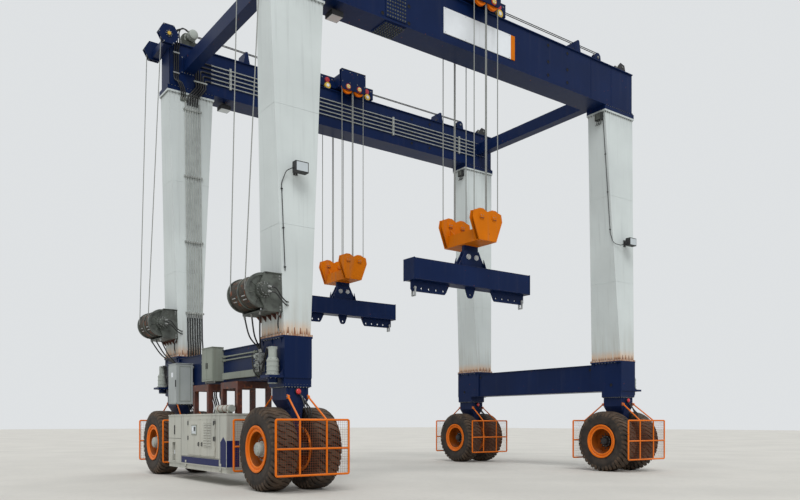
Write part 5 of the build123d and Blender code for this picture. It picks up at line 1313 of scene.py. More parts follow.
class CRANE_OT_winches(CraneStep, bpy.types.Operator):
    """Hoist winches: rope windings, rimmed flanges, motors, end plates with bolts, and brackets"""

    bl_idname = "crane.winches"
    bl_label = "Winches"

    def execute(self, context):
        dress("winch", "winch_frames", "winch_drum_near", "winch_drum_far")
        frames = Shape("winch")
        for name, side in SIDES:
            pivot = PIVOTS["drum_spin_" + name]
            axis = Vector((pivot.x, side * GIRDER_Y + 0.05, pivot.z))
            self.drum(name, axis)
            self.motors(frames, axis)
            self.brackets(frames, axis)
            self.lines(frames, axis)
        frames.make("winch_detail", "portal")
        return {"FINISHED"}

    def drum(self, name, axis):
        turns = Shape("winding")
        pitch = self.sizes.rope
        for start, end, radius in ((-0.424, -0.020, 0.317), (0.020, 0.424, 0.322)):
            profile = [(start, 0.24)]
            count = int((end - start) / pitch)
            for turn in range(count):
                centre = start + pitch * (turn + 0.5)
                for step in range(5):
                    angle = math.radians(180 - 45 * step)
                    profile.append((centre + pitch / 2 * math.cos(angle), radius + pitch / 2 * math.sin(angle)))
            profile.append((end, 0.24))
            turns.turned(profile, axis, (0, 1, 0), 48)
        for hand in (-1, 1):
            face = axis + Vector((0, hand * 0.459, 0))
            rim = [(0.025, 0.307), (0.026, 0.307), (0.026, 0.358), (0.025, 0.358)]
            turns.turned(rim, face, (0, hand, 0), 48, "winch")
            for spoke in range(8):
                angle = math.radians(45 * spoke + 12)
                way = Vector((math.cos(angle), 0, math.sin(angle)))
                lift = Vector((0, hand * 0.004, 0))
                turns.tube([face + way * 0.14 + lift, face + way * 0.304 + lift], 0.008, 6, "winch")
            for angle in (200, 214):
                way = Vector((math.cos(math.radians(angle)), 0, math.sin(math.radians(angle))))
                mid_y = Vector((0, hand * 0.23, 0))
                seat = axis + mid_y + way * 0.325
                turns.tube([seat - Vector((0, 0.08, 0)), seat + Vector((0, 0.08, 0))], 0.013, 8, "steel")
        turns.make("rope_windings_" + name, "drum_" + name)

    def motors(self, frames, axis):
        for hand in (-1, 1):
            face = axis + Vector((0, hand * 0.535, 0))
            way = (0, hand, 0)
            ring = [(0.0, 0.0), (0.0, 0.165), (0.022, 0.165), (0.026, 0.16), (0.026, 0.0)]
            frames.turned(ring, face, way, 40)
            frames.bolt_ring(face + Vector((0, hand * 0.022, 0)), way, 0.148, 16, 0.022)
            tip = face + Vector((0, hand * 0.126, 0))
            cover = [(-0.1, 0.128), (-0.008, 0.132), (0.0, 0.126), (0.004, 0.1), (0.02, 0.09), (0.024, 0.075), (0.024, 0.0)]
            frames.turned(cover, tip, way, 40)
            frames.bolt_ring(tip + Vector((0, hand * 0.002, 0)), way, 0.112, 10, 0.018)
            frames.turned([(0, 0.0), (0, 0.03), (0.03, 0.03), (0.03, 0)], tip + Vector((0.035, hand * 0.02, 0.05)), way, 12, "bolt")
            frames.turned([(0, 0.0), (0, 0.03), (0.03, 0.03), (0.03, 0)], tip + Vector((0.035, hand * 0.02, -0.05)), way, 12, "bolt")

    def lines(self, frames, axis):
        """Pressure hoses from the motors to the leg, and from the shelf down to the base box."""
        leg = MID_X - leg_outer(axis.z)
        box_x = MID_X - STATION_X - BASE_HALF_X
        for hand in (-1, 1):
            tip = axis.y + hand * 0.70
            wall = axis.y - 0.05 + hand * (leg_front(3.9) - GIRDER_Y)
            for lift, drop in ((0.05, 0.0), (-0.05, 0.07)):
                frames.hose([(axis.x + 0.035, tip, axis.z + lift), (axis.x + 0.15, tip + hand * 0.07, axis.z + lift - 0.03),
                             (axis.x + 0.30, tip + hand * 0.04, axis.z - 0.14 - drop),
                             (leg + 0.05, wall + hand * 0.05, axis.z - 0.20 - drop),
                             (leg + 0.13, wall - hand * 0.004, axis.z - 0.20 - drop)])
        low = axis.z - 0.42
        for y, x, bow in ((-0.40, -0.02, -0.05), (0.05, 0.0, 0.0), (0.45, 0.02, 0.06)):
            start = Vector((axis.x + x, axis.y + y, low))
            end = Vector((box_x - 0.05, math.copysign(2.64, axis.y) + 0.12 * y, 2.94))
            half = start.lerp(end, 0.55) + Vector((-0.05, bow, 0))
            frames.hose([start, half, end + Vector((-0.03, 0, 0.1)), end], 0.018)
        start = Vector((leg - 0.03, axis.y - 0.49, low))
        frames.hose([start, start + Vector((-0.03, 0.02, -0.2)), start + Vector((0.0, 0.05, -0.39))], 0.016)

    def brackets(self, frames, axis):
        """Stiffened edges on the end plates and rusty gussets under the shelf."""
        top = axis.z + 0.36
        low = axis.z - 0.38
        for hand in (-1, 1):
            plate = axis.y + hand * 0.5125
            leg_x = MID_X - leg_outer(top)
            frames.box((axis.x + 0.02, plate - 0.05, top), (leg_x, plate + 0.05, top + 0.014))
            for z, width in ((top - 0.05, 0.30), (low + 0.06, 0.30)):
                wall = MID_X - leg_outer(z)
                for drop in (0.0, 0.055):
                    frames.bolt((wall - 0.05, plate + hand * 0.0225, z - drop), (0, hand, 0), 0.03)
        shelf_z = low - 0.04
        for step in range(5):
            y = axis.y - 0.46 + 0.23 * step
            wall = MID_X - leg_outer(shelf_z)
            gusset = [(wall, shelf_z), (wall - 0.12, shelf_z), (wall, shelf_z - 0.12)]
            frames.plate(gusset, "y", y - 0.012, y + 0.012, "primer")


class CRANE_OT_tops(CraneStep, bpy.types.Operator):
    """Head sheaves, return sheaves and traction drives on the girders"""

    bl_idname = "crane.tops"
    bl_label = "Girder tops"

    def execute(self, context):
        dress("navy", "head_sheaves", "return_sheaves")
        dress("winch", "traction_drives")
        detail = Shape("navy")
        for name, side in SIDES:
            y = side * GIRDER_Y
            x = MID_X - 5.96 - 0.135
            for hand in (-1, 1):
                face = y + hand * (0.60 + 0.067)
                ring = [(0, 0.0), (0, 0.095), (0.010, 0.095), (0.010, 0.0)]
                detail.turned(ring, (x, face, 11.86), (0, hand, 0), 28)
                detail.bolt_ring((x, face + hand * 0.010, 11.86), (0, hand, 0), 0.078, 8, 0.018)
                boss = [(0, 0.0), (0, 0.05), (0.02, 0.048), (0.024, 0.0)]
                detail.turned(boss, (x, face + hand * 0.024, 11.86), (0, hand, 0), 20, "yellow")
                for step in range(6):
                    angle = math.radians(60 * step)
                    px, pz = x + 0.262 * math.cos(angle), 11.86 + 0.262 * math.sin(angle)
                    spacer = [(px, y + hand * 0.535, pz), (px, y + hand * 0.665, pz)]
                    detail.tube(spacer, 0.011, 8, "bolt")
                    detail.bolt((px, face, pz), (0, hand, 0), 0.024)
            self.drive(detail, side)
            self.end_roller(detail, y)
            self.lead_box(detail, side)
            return_x = MID_X + 4.70
            for hand in (-1, 1):
                detail.bolt((return_x, y + hand * 0.07, 12.125), (0, hand, 0), 0.05)
                foot = [(return_x - 0.18, GIRDER_TOP), (return_x + 0.18, GIRDER_TOP),
                        (return_x + 0.18, GIRDER_TOP + 0.016), (return_x - 0.18, GIRDER_TOP + 0.016)]
                detail.plate(foot, "y", y + hand * 0.07, y + hand * 0.13)
                detail.bolt_row((return_x - 0.14, y + hand * 0.105, GIRDER_TOP + 0.016),
                                (return_x + 0.14, y + hand * 0.105, GIRDER_TOP + 0.016), 3, (0, 0, 1), 0.026)
            for stop in (-3.65, 3.65):
                for hand in (-1, 1):
                    pad = portal(stop - math.copysign(0.06, stop), y + hand * 0.1, GIRDER_TOP + 0.15)
                    bumper = [(0, 0.0), (0, 0.05), (0.035, 0.045), (0.04, 0.0)]
                    detail.turned(bumper, pad, (-math.copysign(1, stop), 0, 0), 16, "hose")
                guide = portal(stop, y, GIRDER_TOP + 0.39)
                detail.tube([guide - Vector((0, 0.08, 0)), guide + Vector((0, 0.08, 0))], 0.014, 10, "steel")
        detail.make("girder_top_detail", "portal")
        return {"FINISHED"}

    def end_roller(self, detail, y):
        """A guide roller in its bracket at the right end of a girder's top."""
        top = GIRDER_TOP
        for hand in (-1, 1):
            side = [(5.58, 0), (5.94, 0), (5.92, 0.20), (5.88, 0.34), (5.70, 0.38), (5.58, 0.26)]
            cheek = [(MID_X + x, top + z) for x, z in side]
            middle_y = y + hand * 0.10
            detail.plate(cheek, "y", middle_y - 0.008, middle_y + 0.008, "dark")
            detail.bolt(portal(5.78, middle_y + hand * 0.008, top + 0.26), (0, hand, 0), 0.04)
        roller = [(-0.088, 0.0), (-0.088, 0.11), (-0.05, 0.08), (0.05, 0.08), (0.088, 0.11), (0.088, 0.0)]
        detail.turned(roller, portal(5.78, y, top + 0.26), (0, 1, 0), 24, "winch")
        pad = [(0, 0.0), (0, 0.04), (0.03, 0.04), (0.036, 0.0)]
        detail.turned(pad, portal(5.93, y, top + 0.16), (1, 0, 0), 16, "block")
        detail.box(portal(5.58, y - 0.14, top), portal(5.95, y + 0.14, top + 0.012), "dark")

    def lead_box(self, detail, side):
        """The box high on a right leg's inner face, where the lamp's lead comes down."""
        z = 10.36
        share = leg_share(z)
        wall = MID_X + STATION_X - 0.31 - 0.43 * share
        y = side * GIRDER_Y
        detail.box((wall + 0.02, y - 0.24, z - 0.11), (wall - 0.11, y - 0.02, z + 0.09), "dark")
        detail.box((wall - 0.11, y - 0.225, z - 0.095), (wall - 0.122, y - 0.035, z + 0.075), "winch")
        for step in range(3):
            start = Vector((wall - 0.06, y - 0.20 + 0.07 * step, z - 0.11))
            end = Vector((wall + 0.004, start.y + 0.06, z - 0.17))
            detail.hose([start, start + Vector((0, 0.01, -0.09)), end + Vector((-0.05, 0, -0.06)), end], 0.009)

    def drive(self, detail, side):
        """A finned motor with fittings, and the pulley's flanges."""
        y = side * GIRDER_Y
        x = MID_X - 5.33
        z = 12.159
        for step in range(7):
            place = (x, y - 0.30 + 0.0 - 0.02 * step, z)
            ring = [(-0.005, 0.118), (-0.005, 0.134), (0.005, 0.134), (0.005, 0.118)]
            detail.turned(ring, place, (0, -1, 0), 28, "hub")
        cap = [(0, 0.0), (0, 0.126), (0.012, 0.126), (0.03, 0.10), (0.034, 0.04), (0.034, 0.0)]
        detail.turned(cap, (x, y - 0.45, z), (0, -1, 0), 28, "hub")
        flange = [(0, 0.125), (0, 0.16), (0.024, 0.16), (0.024, 0.125)]
        detail.turned(flange, (x, y - 0.142, z), (0, -1, 0), 28, "hub")
        detail.bolt_ring((x, y - 0.166, z), (0, -1, 0), 0.143, 8, 0.02)
        for hand in (-1, 1):
            ring = [(0, 0.15), (0, 0.205), (0.008, 0.205), (0.008, 0.15)]
            detail.turned(ring, (x, y + hand * 0.028, z), (0, hand, 0), 36, "winch")
        self.drive_hoses(detail, side)

    def drive_hoses(self, detail, side):
        """Hoses clipped to the girder's inner face, from the drive's motor down to the leg's head."""
        motor_y = side * GIRDER_Y - 0.40
        face = side * (GIRDER_Y - WEB_Y - 0.024)
        lip = side * (GIRDER_Y - 0.42)
        leg_y = side * leg_back(10.3)
        for step in range(3):
            x = -5.83 + 0.055 * step
            start = portal(-5.33 - 0.10, motor_y + 0.05 * step, 12.20 + 0.03 * step)
            route = [start, start + Vector((-0.16, 0, 0.05)), portal(x, motor_y, 12.12), portal(x, lip, 11.96),
                     portal(x, lip, 11.80), portal(x, face, 11.62), portal(x, face, 11.2), portal(x, face, 10.86),
                     portal(x + 0.08, lip, 10.74), portal(x + 0.16, lip, 10.52), portal(x + 0.2, leg_y, 10.34)]
            detail.hose(route, 0.017)
        for z in (11.55, 11.0):
            low, high = portal(-5.86, face - side * 0.02, z), portal(-5.69, side * (GIRDER_Y - WEB_Y), z + 0.035)
            detail.box(low, high, "steel")
        plate = (portal(-5.66, leg_y - side * 0.02, 10.29), portal(-5.48, leg_y + side * 0.01, 10.39))
        detail.box(*plate, "winch")


class CRANE_OT_canopy(CraneStep, bpy.types.Operator):
    """Generating set: panel seams, door furniture, louvres, recess, blue blocks, muffler and skid"""

    bl_idname = "crane.canopy"
    bl_label = "Generating set"

    def execute(self, context):
        dress("canopy", "genset_canopy", "genset_skid", "canopy_door_near", "canopy_door_far")
        dress("dark", "engine")
        low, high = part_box("genset_canopy")
        self.x0, self.x1 = low.x, high.x
        self.skin(low)
        self.doors()
        self.ends()
        return {"FINISHED"}

    def skin(self, low):
        detail = Shape("canopy")
        x0 = self.x0
        front = x0 - 0.002
        seam = self.sizes.seam / 2
        for y in (-1.50, 0.955):
            detail.box((x0, y - seam, 0.42), (front, y + seam, 1.58), "hole")
        detail.box((x0, 0.955, 1.02 - seam), (front, 1.86, 1.02 + seam), "hole")
        detail.box((x0, -1.86, 0.60 - seam), (front, 0.955, 0.60 + seam), "hole")
        detail.box((x0, -1.87, 1.592), (x0 - 0.012, 1.87, 1.62))
        detail.box((x0, -1.87, 0.402), (x0 - 0.012, 1.87, 0.425))
        # Near-black sheet at the back of the recess: painted shade
        detail.box((x0 + 0.064, 1.35, 0.455), (x0 + 0.068, 1.56, 0.925), "hole")
        for y in (1.345, 1.565):
            detail.box((x0, y - 0.008, 0.45), (x0 - 0.014, y + 0.008, 0.93))
        for z in (0.45, 0.93):
            detail.box((x0, 1.34, z - 0.008), (x0 - 0.014, 1.57, z + 0.008))
        detail.box((x0 + 0.064, 1.50, 0.62), (x0 + 0.03, 1.545, 0.72), "sign")
        detail.tube([(x0 + 0.05, 1.53, 0.62), (x0 + 0.045, 1.50, 0.55), (x0 + 0.05, 1.54, 0.47)], 0.006, 6, "hose")
        latch = [(x0, 1.40, 1.30), (x0 - 0.012, 1.43, 1.36)]
        detail.box(latch[0], latch[1], "dark")
        detail.box((x0, 1.405, 1.12), (x0 - 0.02, 1.425, 1.34), "dark")
        detail.box((x0, -1.44, 0.43), (x0 - 0.003, 0.93, 0.585), "decal")
        detail.box((x0, -1.845, 0.43), (x0 - 0.003, -1.53, 0.98), "decal")
        stripe = [(-1.845, 0.98), (-1.53, 0.98), (-1.69, 1.10)]
        detail.plate(stripe, "x", x0, x0 - 0.003, "decal")
        for y in (-1.55, 0.62):
            detail.box((x0 + 0.0, y - 0.03, 0.30), (x0 - 0.016, y + 0.03, 0.50))
            # Near-black disc: painted shade in the lug's hole
            detail.disc((x0 - 0.016, y, 0.335), (-1, 0, 0), 0.016, 0.004, 12, "hole")
            detail.bolt((x0 - 0.016, y, 0.44), (-1, 0, 0), 0.024)
        top = 1.62
        for y0, y1 in ((-1.82, -0.62), (-0.56, 0.62), (0.68, 1.82)):
            x_in, x_out = self.x0 + 0.04, self.x1 - 0.04
            edge = 0.012
            for a, b in (((x_in, y0), (x_out, y0 + edge)), ((x_in, y1 - edge), (x_out, y1)),
                         ((x_in, y0), (x_in + edge, y1)), ((x_out - edge, y0), (x_out, y1))):
                detail.box((a[0], a[1], top), (b[0], b[1], top + 0.01))
        detail.make("canopy_skin", "portal")
        self.exhaust()

    def exhaust(self):
        pipe = Shape("hub")
        for step in range(6):
            y = 0.62 + 0.13 * step
            x = MID_X - STATION_X + 0.09 - 0.05 * (step % 3)
            pipe.hose([(x, y, 2.36), (x - 0.02, y + 0.02 - 0.015 * step, 2.1), (x + 0.02, y - 0.07, 1.85), (x, y - 0.05, 1.621)], 0.019)
        y0, y1 = -1.81, -1.05
        x, z = self.x0 + 0.15, 1.74
        cap = [(0, 0.0), (0, 0.078), (0.012, 0.083), (0.03, 0.083), (0.04, 0.078), (0.04, 0.0)]
        pipe.turned(cap, (x, y0 + 0.02, z), (0, -1, 0), 28)
        pipe.turned(cap, (x, y1 - 0.02, z), (0, 1, 0), 28)
        for y in (-1.68, -1.45, -1.2):
            band = [(-0.015, 0.080), (-0.015, 0.084), (0.015, 0.084), (0.015, 0.080)]
            pipe.turned(band, (x, y, z), (0, 1, 0), 28, "rusty")
        collar = [(0, 0.0), (0, 0.055), (0.012, 0.055), (0.012, 0.0)]
        pipe.turned(collar, (x, y1 + 0.11, 1.62), (0, 0, 1), 20)
        pipe.make("exhaust", "portal")

    def doors(self):
        for name, hinge_y, meet_y in (("near", -1.24, -0.403), ("far", 0.44, -0.397)):
            low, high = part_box("canopy_door_" + name)
            face = low.x
            door = Shape("canopy")
            toward = 1 if name == "near" else -1
            y0, y1 = sorted((hinge_y + toward * 0.016, meet_y))
            for a, b in (((y0, 0.645), (y1, 0.66)), ((y0, 1.49), (y1, 1.505)),
                         ((y0, 0.645), (y0 + 0.015, 1.505)), ((y1 - 0.015, 0.645), (y1, 1.505))):
                door.box((face, a[0], a[1]), (face - 0.006, b[0], b[1]))
            pivot = PIVOTS["door_%s_hinge" % name]
            for z in (1.05, 1.41):
                leaf = hinge_y + toward * 0.016
                door.box((face, leaf, z - 0.05), (face - 0.012, leaf + toward * 0.04, z + 0.05), "dark")
                knuckle = (pivot.x, pivot.y, z)
                door.turned([(-0.055, 0.0), (-0.055, 0.012), (0.055, 0.012), (0.055, 0.0)], knuckle, (0, 0, 1), 12, "dark")
            handle_y = meet_y - toward * 0.10
            door.box((face, handle_y - 0.018, 0.86), (face - 0.01, handle_y + 0.018, 0.96), "dark")
            grip = [(face - 0.01, handle_y, 0.95), (face - 0.028, handle_y, 0.94), (face - 0.028, handle_y, 0.88), (face - 0.01, handle_y, 0.87)]
            door.tube(grip, 0.007, 8, "dark")
            if name == "near":
                self.louvre(door, face)
            else:
                self.window(door, face)
            door.make("door_detail_" + name, "door_" + name)

    def louvre(self, door, face):
        y0, y1, z0, z1 = -1.08, -0.63, 0.87, 1.41
        for a, b in (((y0 - 0.02, z0 - 0.02), (y1 + 0.02, z0)), ((y0 - 0.02, z1), (y1 + 0.02, z1 + 0.02)),
                     ((y0 - 0.02, z0), (y0, z1)), ((y1, z0), (y1 + 0.02, z1))):
            door.box((face, a[0], a[1]), (face - 0.012, b[0], b[1]))
        for row in range(9):
            z = z0 + 0.030 + row * 0.060
            blade = [(face, z + 0.015), (face, z + 0.021), (face - 0.018, z - 0.004), (face - 0.018, z - 0.010)]
            door.plate(blade, "y", y0, y1)
        door.box((face, (y0 + y1) / 2 - 0.008, z0), (face - 0.022, (y0 + y1) / 2 + 0.008, z1))

    def window(self, door, face):
        y0, y1, z0, z1 = -0.17, 0.15, 1.13, 1.37
        door.box((face, y0, z0), (face - 0.014, y1, z1), "cabinet")
        door.box((face - 0.014, y0 + 0.025, z0 + 0.025), (face - 0.018, y1 - 0.025, z1 - 0.025), "glass")
        door.box((face - 0.018, y0 + 0.06, 1.22), (face - 0.026, y0 + 0.13, 1.32), "dark")
        door.box((face - 0.018, y1 - 0.12, 1.22), (face - 0.022, y1 - 0.06, 1.30), "sign")
        for y in (y0 + 0.01, y1 - 0.01):
            for z in (z0 + 0.01, z1 - 0.01):
                door.bolt((face - 0.014, y, z), (-1, 0, 0), 0.010)

    def ends(self):
        """The radiator grille and blue block on the near end, and a plain louvre on the far end."""
        ends = Shape("canopy")
        for side in (-1, 1):
            y = side * 1.87
            out = y + side * 0.003
            ends.box((self.x0 + 0.003, y, 0.43), (self.x0 + 0.30, out, 1.02), "decal")
            deep = y - side * 0.058
            # Near-black sheet at the back of the recess: painted shade
            ends.box((self.x0 + 0.38, deep, 0.55), (self.x1 - 0.12, deep + side * 0.002, 1.42), "hole")
            for x in (self.x0 + 0.37, self.x1 - 0.13):
                ends.box((x, y, 0.53), (x + 0.02, y + side * 0.02, 1.44))
            for z in (0.53, 1.42):
                ends.box((self.x0 + 0.37, y, z), (self.x1 - 0.11, y + side * 0.02, z + 0.02))
            ends.box((self.x0, y, 1.592), (self.x1, y + side * 0.012, 1.62))
        x = self.x1
        for y0, y1 in ((-1.7, -0.62), (-0.52, 0.56), (0.66, 1.7)):
            seam = 0.004
            for a, b in (((y0, 0.5), (y0 + seam, 1.5)), ((y1, 0.5), (y1 + seam, 1.5)),
                         ((y0, 0.5), (y1, 0.5 + seam)), ((y0, 1.5), (y1, 1.5 + seam))):
                ends.box((x, a[0], a[1]), (x + 0.002, b[0], b[1]), "hole")
            ends.box((x, y1 - 0.09, 0.95), (x + 0.02, y1 - 0.06, 1.07), "dark")
            for row in range(6):
                z = 1.15 + row * 0.045
                # Near-black strips for the louvre's slots: painted shade
                ends.box((x, y0 + 0.15, z), (x + 0.004, y1 - 0.25, z + 0.018), "hole")
        ends.make("canopy_ends", "portal")


class CRANE_OT_saddle_gear(CraneStep, bpy.types.Operator):
    """Hangers, cabinets, tray, pipes and steering motors on the saddle beams"""

    bl_idname = "crane.saddle_gear"
    bl_label = "Saddle beam gear"

    def execute(self, context):
        dress("primer", "hangers")
        dress("hub", "steering_drives_left", "steering_drives_right")
        dress("pale_box", "electric_cabinet", "cabinet_door")
        dress("cabinet", "valve_cabinet")
        dress("cabinet", "saddle_pipes")
        dress("pipe", "pipes")
        self.cabinet()
        self.valves()
        self.motors()
        self.clamps()
        return {"FINISHED"}

    def cabinet(self):
        low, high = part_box("cabinet_door")
        door = Shape("pale_box")
        face = low.x
        side = high.y - 0.02
        for a, b in (((low.y, low.z), (side, low.z + 0.02)), ((low.y, high.z - 0.02), (side, high.z)),
                     ((low.y, low.z), (low.y + 0.02, high.z)), ((side - 0.02, low.z), (side, high.z))):
            door.box((face, a[0], a[1]), (face - 0.006, b[0], b[1]))
        lock_y = low.y + 0.05
        door.box((face, lock_y - 0.016, 2.34), (face - 0.02, lock_y + 0.016, 2.52), "dark")
        door.disc((face - 0.006, lock_y, 2.30), (-1, 0, 0), 0.012, 0.01, 16, "bolt")
        door.box((face, 1.72, 2.60), (face - 0.004, 1.86, 2.72), "sign")
        for z in (2.02, 2.82):
            hinge = (PIVOTS["cabinet_door_hinge"].x, PIVOTS["cabinet_door_hinge"].y, z)
            door.turned([(-0.04, 0.0), (-0.04, 0.011), (0.04, 0.011), (0.04, 0.0)], hinge, (0, 0, 1), 12, "bolt")
        door.make("cabinet_door_detail", "cabinet_lid")
        low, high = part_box("electric_cabinet")
        box = Shape("pale_box")
        right = MID_X - STATION_X - BASE_HALF_X - 0.02
        top = 2.94
        box.box((low.x - 0.02, low.y - 0.02, top), (right + 0.01, low.y + 0.65, top + 0.014))
        panel = low.y - 0.004
        for a, b in (((low.x + 0.05, 1.97), (right - 0.05, 1.985)), ((low.x + 0.05, 2.86), (right - 0.05, 2.875)),
                     ((low.x + 0.05, 1.97), (low.x + 0.065, 2.875)), ((right - 0.065, 1.97), (right - 0.05, 2.875))):
            box.box((a[0], low.y, a[1]), (b[0], panel, b[1]), "cabinet")
        for step in range(4):
            gland = (low.x + 0.08 + step * 0.08, low.y + 0.12, 1.90)
            box.turned([(0, 0.0), (0, 0.02), (0.03, 0.018), (0.03, 0.0)], gland, (0, 0, -1), 12, "dark")
        box.make("cabinet_detail", "portal")

    def valves(self):
        low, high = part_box("valve_cabinet")
        gear = Shape("cabinet")
        gear.box((low.x - 0.006, low.y + 0.03, low.z + 0.05), (low.x, low.y + 0.33, high.z - 0.05))
        gear.box((low.x - 0.006, high.y - 0.32, low.z + 0.05), (low.x, high.y - 0.03, high.z - 0.05))
        gear.box((low.x - 0.015, low.y - 0.015, high.z), (high.x, high.y + 0.015, high.z + 0.014))
        for y in (low.y + 0.30, high.y - 0.30):
            gear.box((low.x - 0.02, y - 0.01, 2.72), (low.x - 0.006, y + 0.01, 2.86), "dark")
        for step in range(7):
            y = low.y + 0.07 + step * 0.09
            nut = [(0, 0.0), (0, 0.024), (0.03, 0.024), (0.03, 0.018), (0.05, 0.018), (0.05, 0.0)]
            gear.turned(nut, (low.x + 0.08, y, low.z), (0, 0, -1), 8, "bolt")
        gear.make("valve_cabinet_detail", "portal")

    def motors(self):
        """Stepped steering motors with ribs, flange bolts and a valve head."""
        for name, way in (("left", -1), ("right", 1)):
            gear = Shape("hub")
            for side in (-1, 1):
                x = MID_X + way * (STATION_X + 0.32 + 0.15)
                y = side * (3.28 + 0.13)
                base = 2.40
                flange = [(0, 0.0), (0, 0.148), (0.024, 0.148), (0.03, 0.142), (0.03, 0.10)]
                gear.turned(flange, (x, y, base), (0, 0, 1), 32)
                gear.bolt_ring((x, y, base + 0.026), (0, 0, 1), 0.135, 10, 0.02)
                for z in (2.50, 2.60, 2.70):
                    band = [(-0.014, 0.124), (-0.010, 0.133), (0.010, 0.133), (0.014, 0.124)]
                    gear.turned(band, (x, y, z), (0, 0, 1), 32)
                neck = [(0, 0.124), (0.02, 0.112), (0.03, 0.104), (0.05, 0.1), (0.05, 0.085)]
                gear.turned(neck, (x, y, 2.724), (0, 0, 1), 32)
                gear.bolt_ring((x, y, 2.744), (0, 0, 1), 0.11, 6, 0.016)
                head = 2.94
                gear.box((x - 0.07, y - 0.07, head), (x + 0.07, y + 0.07, head + 0.055))
                for hand in (-1, 1):
                    port = (x + hand * 0.04, y - side * 0.07, head + 0.03)
                    gear.turned([(0, 0.0), (0, 0.022), (0.03, 0.022), (0.03, 0.016), (0.05, 0.016), (0.05, 0.0)],
                                port, (0, -side, 0), 6, "bolt")
                shelf = MID_X + way * (STATION_X + 0.32)
                gear.box((shelf, y - 0.212, 2.348), (shelf + way * 0.332, y + 0.212, 2.402), "navy")
                for edge in (-1, 1):
                    rib = [(shelf, 2.40), (shelf + way * 0.10, 2.40), (shelf, 2.54)]
                    gear.plate(rib, "y", y + edge * 0.19 - 0.008, y + edge * 0.19 + 0.008, "navy")
                pinion = [(0, 0.0), (0, 0.102), (0.10, 0.102), (0.115, 0.085), (0.115, 0.0)]
                gear.turned(pinion, (x, y, 2.348), (0, 0, -1), 32, "navy")
                gear.bolt_ring((x, y, 2.348), (0, 0, -1), 0.13, 8, 0.022)
                self.manifold(gear, shelf, y - side * 0.77, way)
                for port, drop in ((0.04, 0.16), (-0.04, 0.26), (0.0, 0.34)):
                    head_at = Vector((x + port, y - side * 0.12, head + 0.03))
                    block_at = Vector((shelf + way * (0.14 + port / 2), y - side * 0.68, 2.66 + 2 * port))
                    sag = head_at.lerp(block_at, 0.6) + Vector((way * 0.05, 0, -drop))
                    gear.hose([head_at, head_at - Vector((0, side * 0.09, 0.01)), sag, block_at])
                for row in range(4):
                    top = Vector((shelf + way * 0.185, y - side * (0.73 + 0.02 * row), 2.62 + row * 0.095))
                    foot = Vector((shelf + way * 0.03, y - side * (0.60 + 0.10 * row), 2.39))
                    low = top.lerp(foot, 0.5) + Vector((way * 0.08, 0, -0.10))
                    gear.hose([top, top + Vector((way * 0.06, 0, -0.03)), low, foot], 0.010)
            gear.make("steering_motors_" + name, "portal")

    def manifold(self, gear, face, y, way):
        """A valve block with solenoids on the base box, inward of the motor."""
        x0, x1 = face, face + way * 0.14
        gear.box((x0, y - 0.09, 2.52), (x1, y + 0.09, 2.92), "pipe")
        for z in (2.64, 2.84):
            gear.turned([(0, 0.0), (0, 0.045), (0.06, 0.045), (0.07, 0.03), (0.07, 0.0)], (x1, y, z), (way, 0, 0), 16, "hub")
        for row in range(4):
            z = 2.57 + row * 0.095
            for hand in (-1, 1):
                coil = [(0, 0.0), (0, 0.026), (0.055, 0.026), (0.055, 0.012), (0.075, 0.012), (0.075, 0.0)]
                gear.turned(coil, (face + way * 0.055, y + hand * 0.09, z), (0, hand, 0), 16, "bolt")
            port = [(0, 0.0), (0, 0.02), (0.025, 0.02), (0.025, 0.014), (0.045, 0.014), (0.045, 0.0)]
            gear.turned(port, (x1, y + 0.04, z), (way, 0, 0), 6, "bolt")
            gear.turned(port, (x1, y - 0.04, z), (way, 0, 0), 6, "bolt")

    def clamps(self):
        """Bolted clamps over the pipes of the girder, the leg and the saddle beam."""
        clamps = Shape("steel")
        y = GIRDER_Y - WEB_Y - 0.026
        for x in (-4.20, -1.33, 1.54, 4.41):
            for z in (11.07, 11.19, 11.31, 11.43):
                clamps.bolt(portal(x, y - 0.026, z), (0, -1, 0), 0.026)
        for z in (4.43, 6.40, 8.22, 10.08):
            wall = leg_back(z)
            for step in range(8):
                x = -5.32 + (step - 3.5) * 0.068
                clamps.bolt(portal(x, wall - 0.052, z), (0, -1, 0), 0.02)
        left = -STATION_X
        lip = GIRDER_Y - 0.382
        leg_y = leg_back(10.3) - 0.026
        for step, z in enumerate((11.01, 11.13, 11.25, 11.37, 11.49)):
            x = left + 0.14 + (2 - step) * 0.068
            drop = x + 0.232
            route = [portal(left + 0.68, y, z), portal(drop, y, z), portal(drop, y, 10.89), portal(drop, lip, 10.75),
                     portal(x, lip, 10.43), portal(x, leg_y, 10.26), portal(x, leg_y, 10.19)]
            clamps.tube(rounded(route, (0.062, 0.08, 0.08, 0.08, 0.02)), 0.0215, 12, "hose")
            clamps.turned([(0, 0.0), (0, 0.026), (0.06, 0.026), (0.06, 0.0)], route[0], (1, 0, 0), 12, "bolt")
        for step in range(7):
            x = left + 0.14 + (step - 3) * 0.068
            run = [portal(x, leg_back(z) - 0.026, z) for z in (4.3, 3.72)]
            clamps.tube(run, 0.0195, 10, "hose")
            clamps.turned([(0, 0.0), (0, 0.024), (0.07, 0.024), (0.07, 0.0)], run[0], (0, 0, 1), 10, "bolt")
            end = leg_back(3.27) - 0.052
            clamps.tube(flowing([run[1], portal(x, end, 3.5), portal(x, end, 3.3), portal(x, end + 0.015, 3.17)]),
                        0.0195, 10, "hose")
        clamps.make("pipe_clamps", "portal")


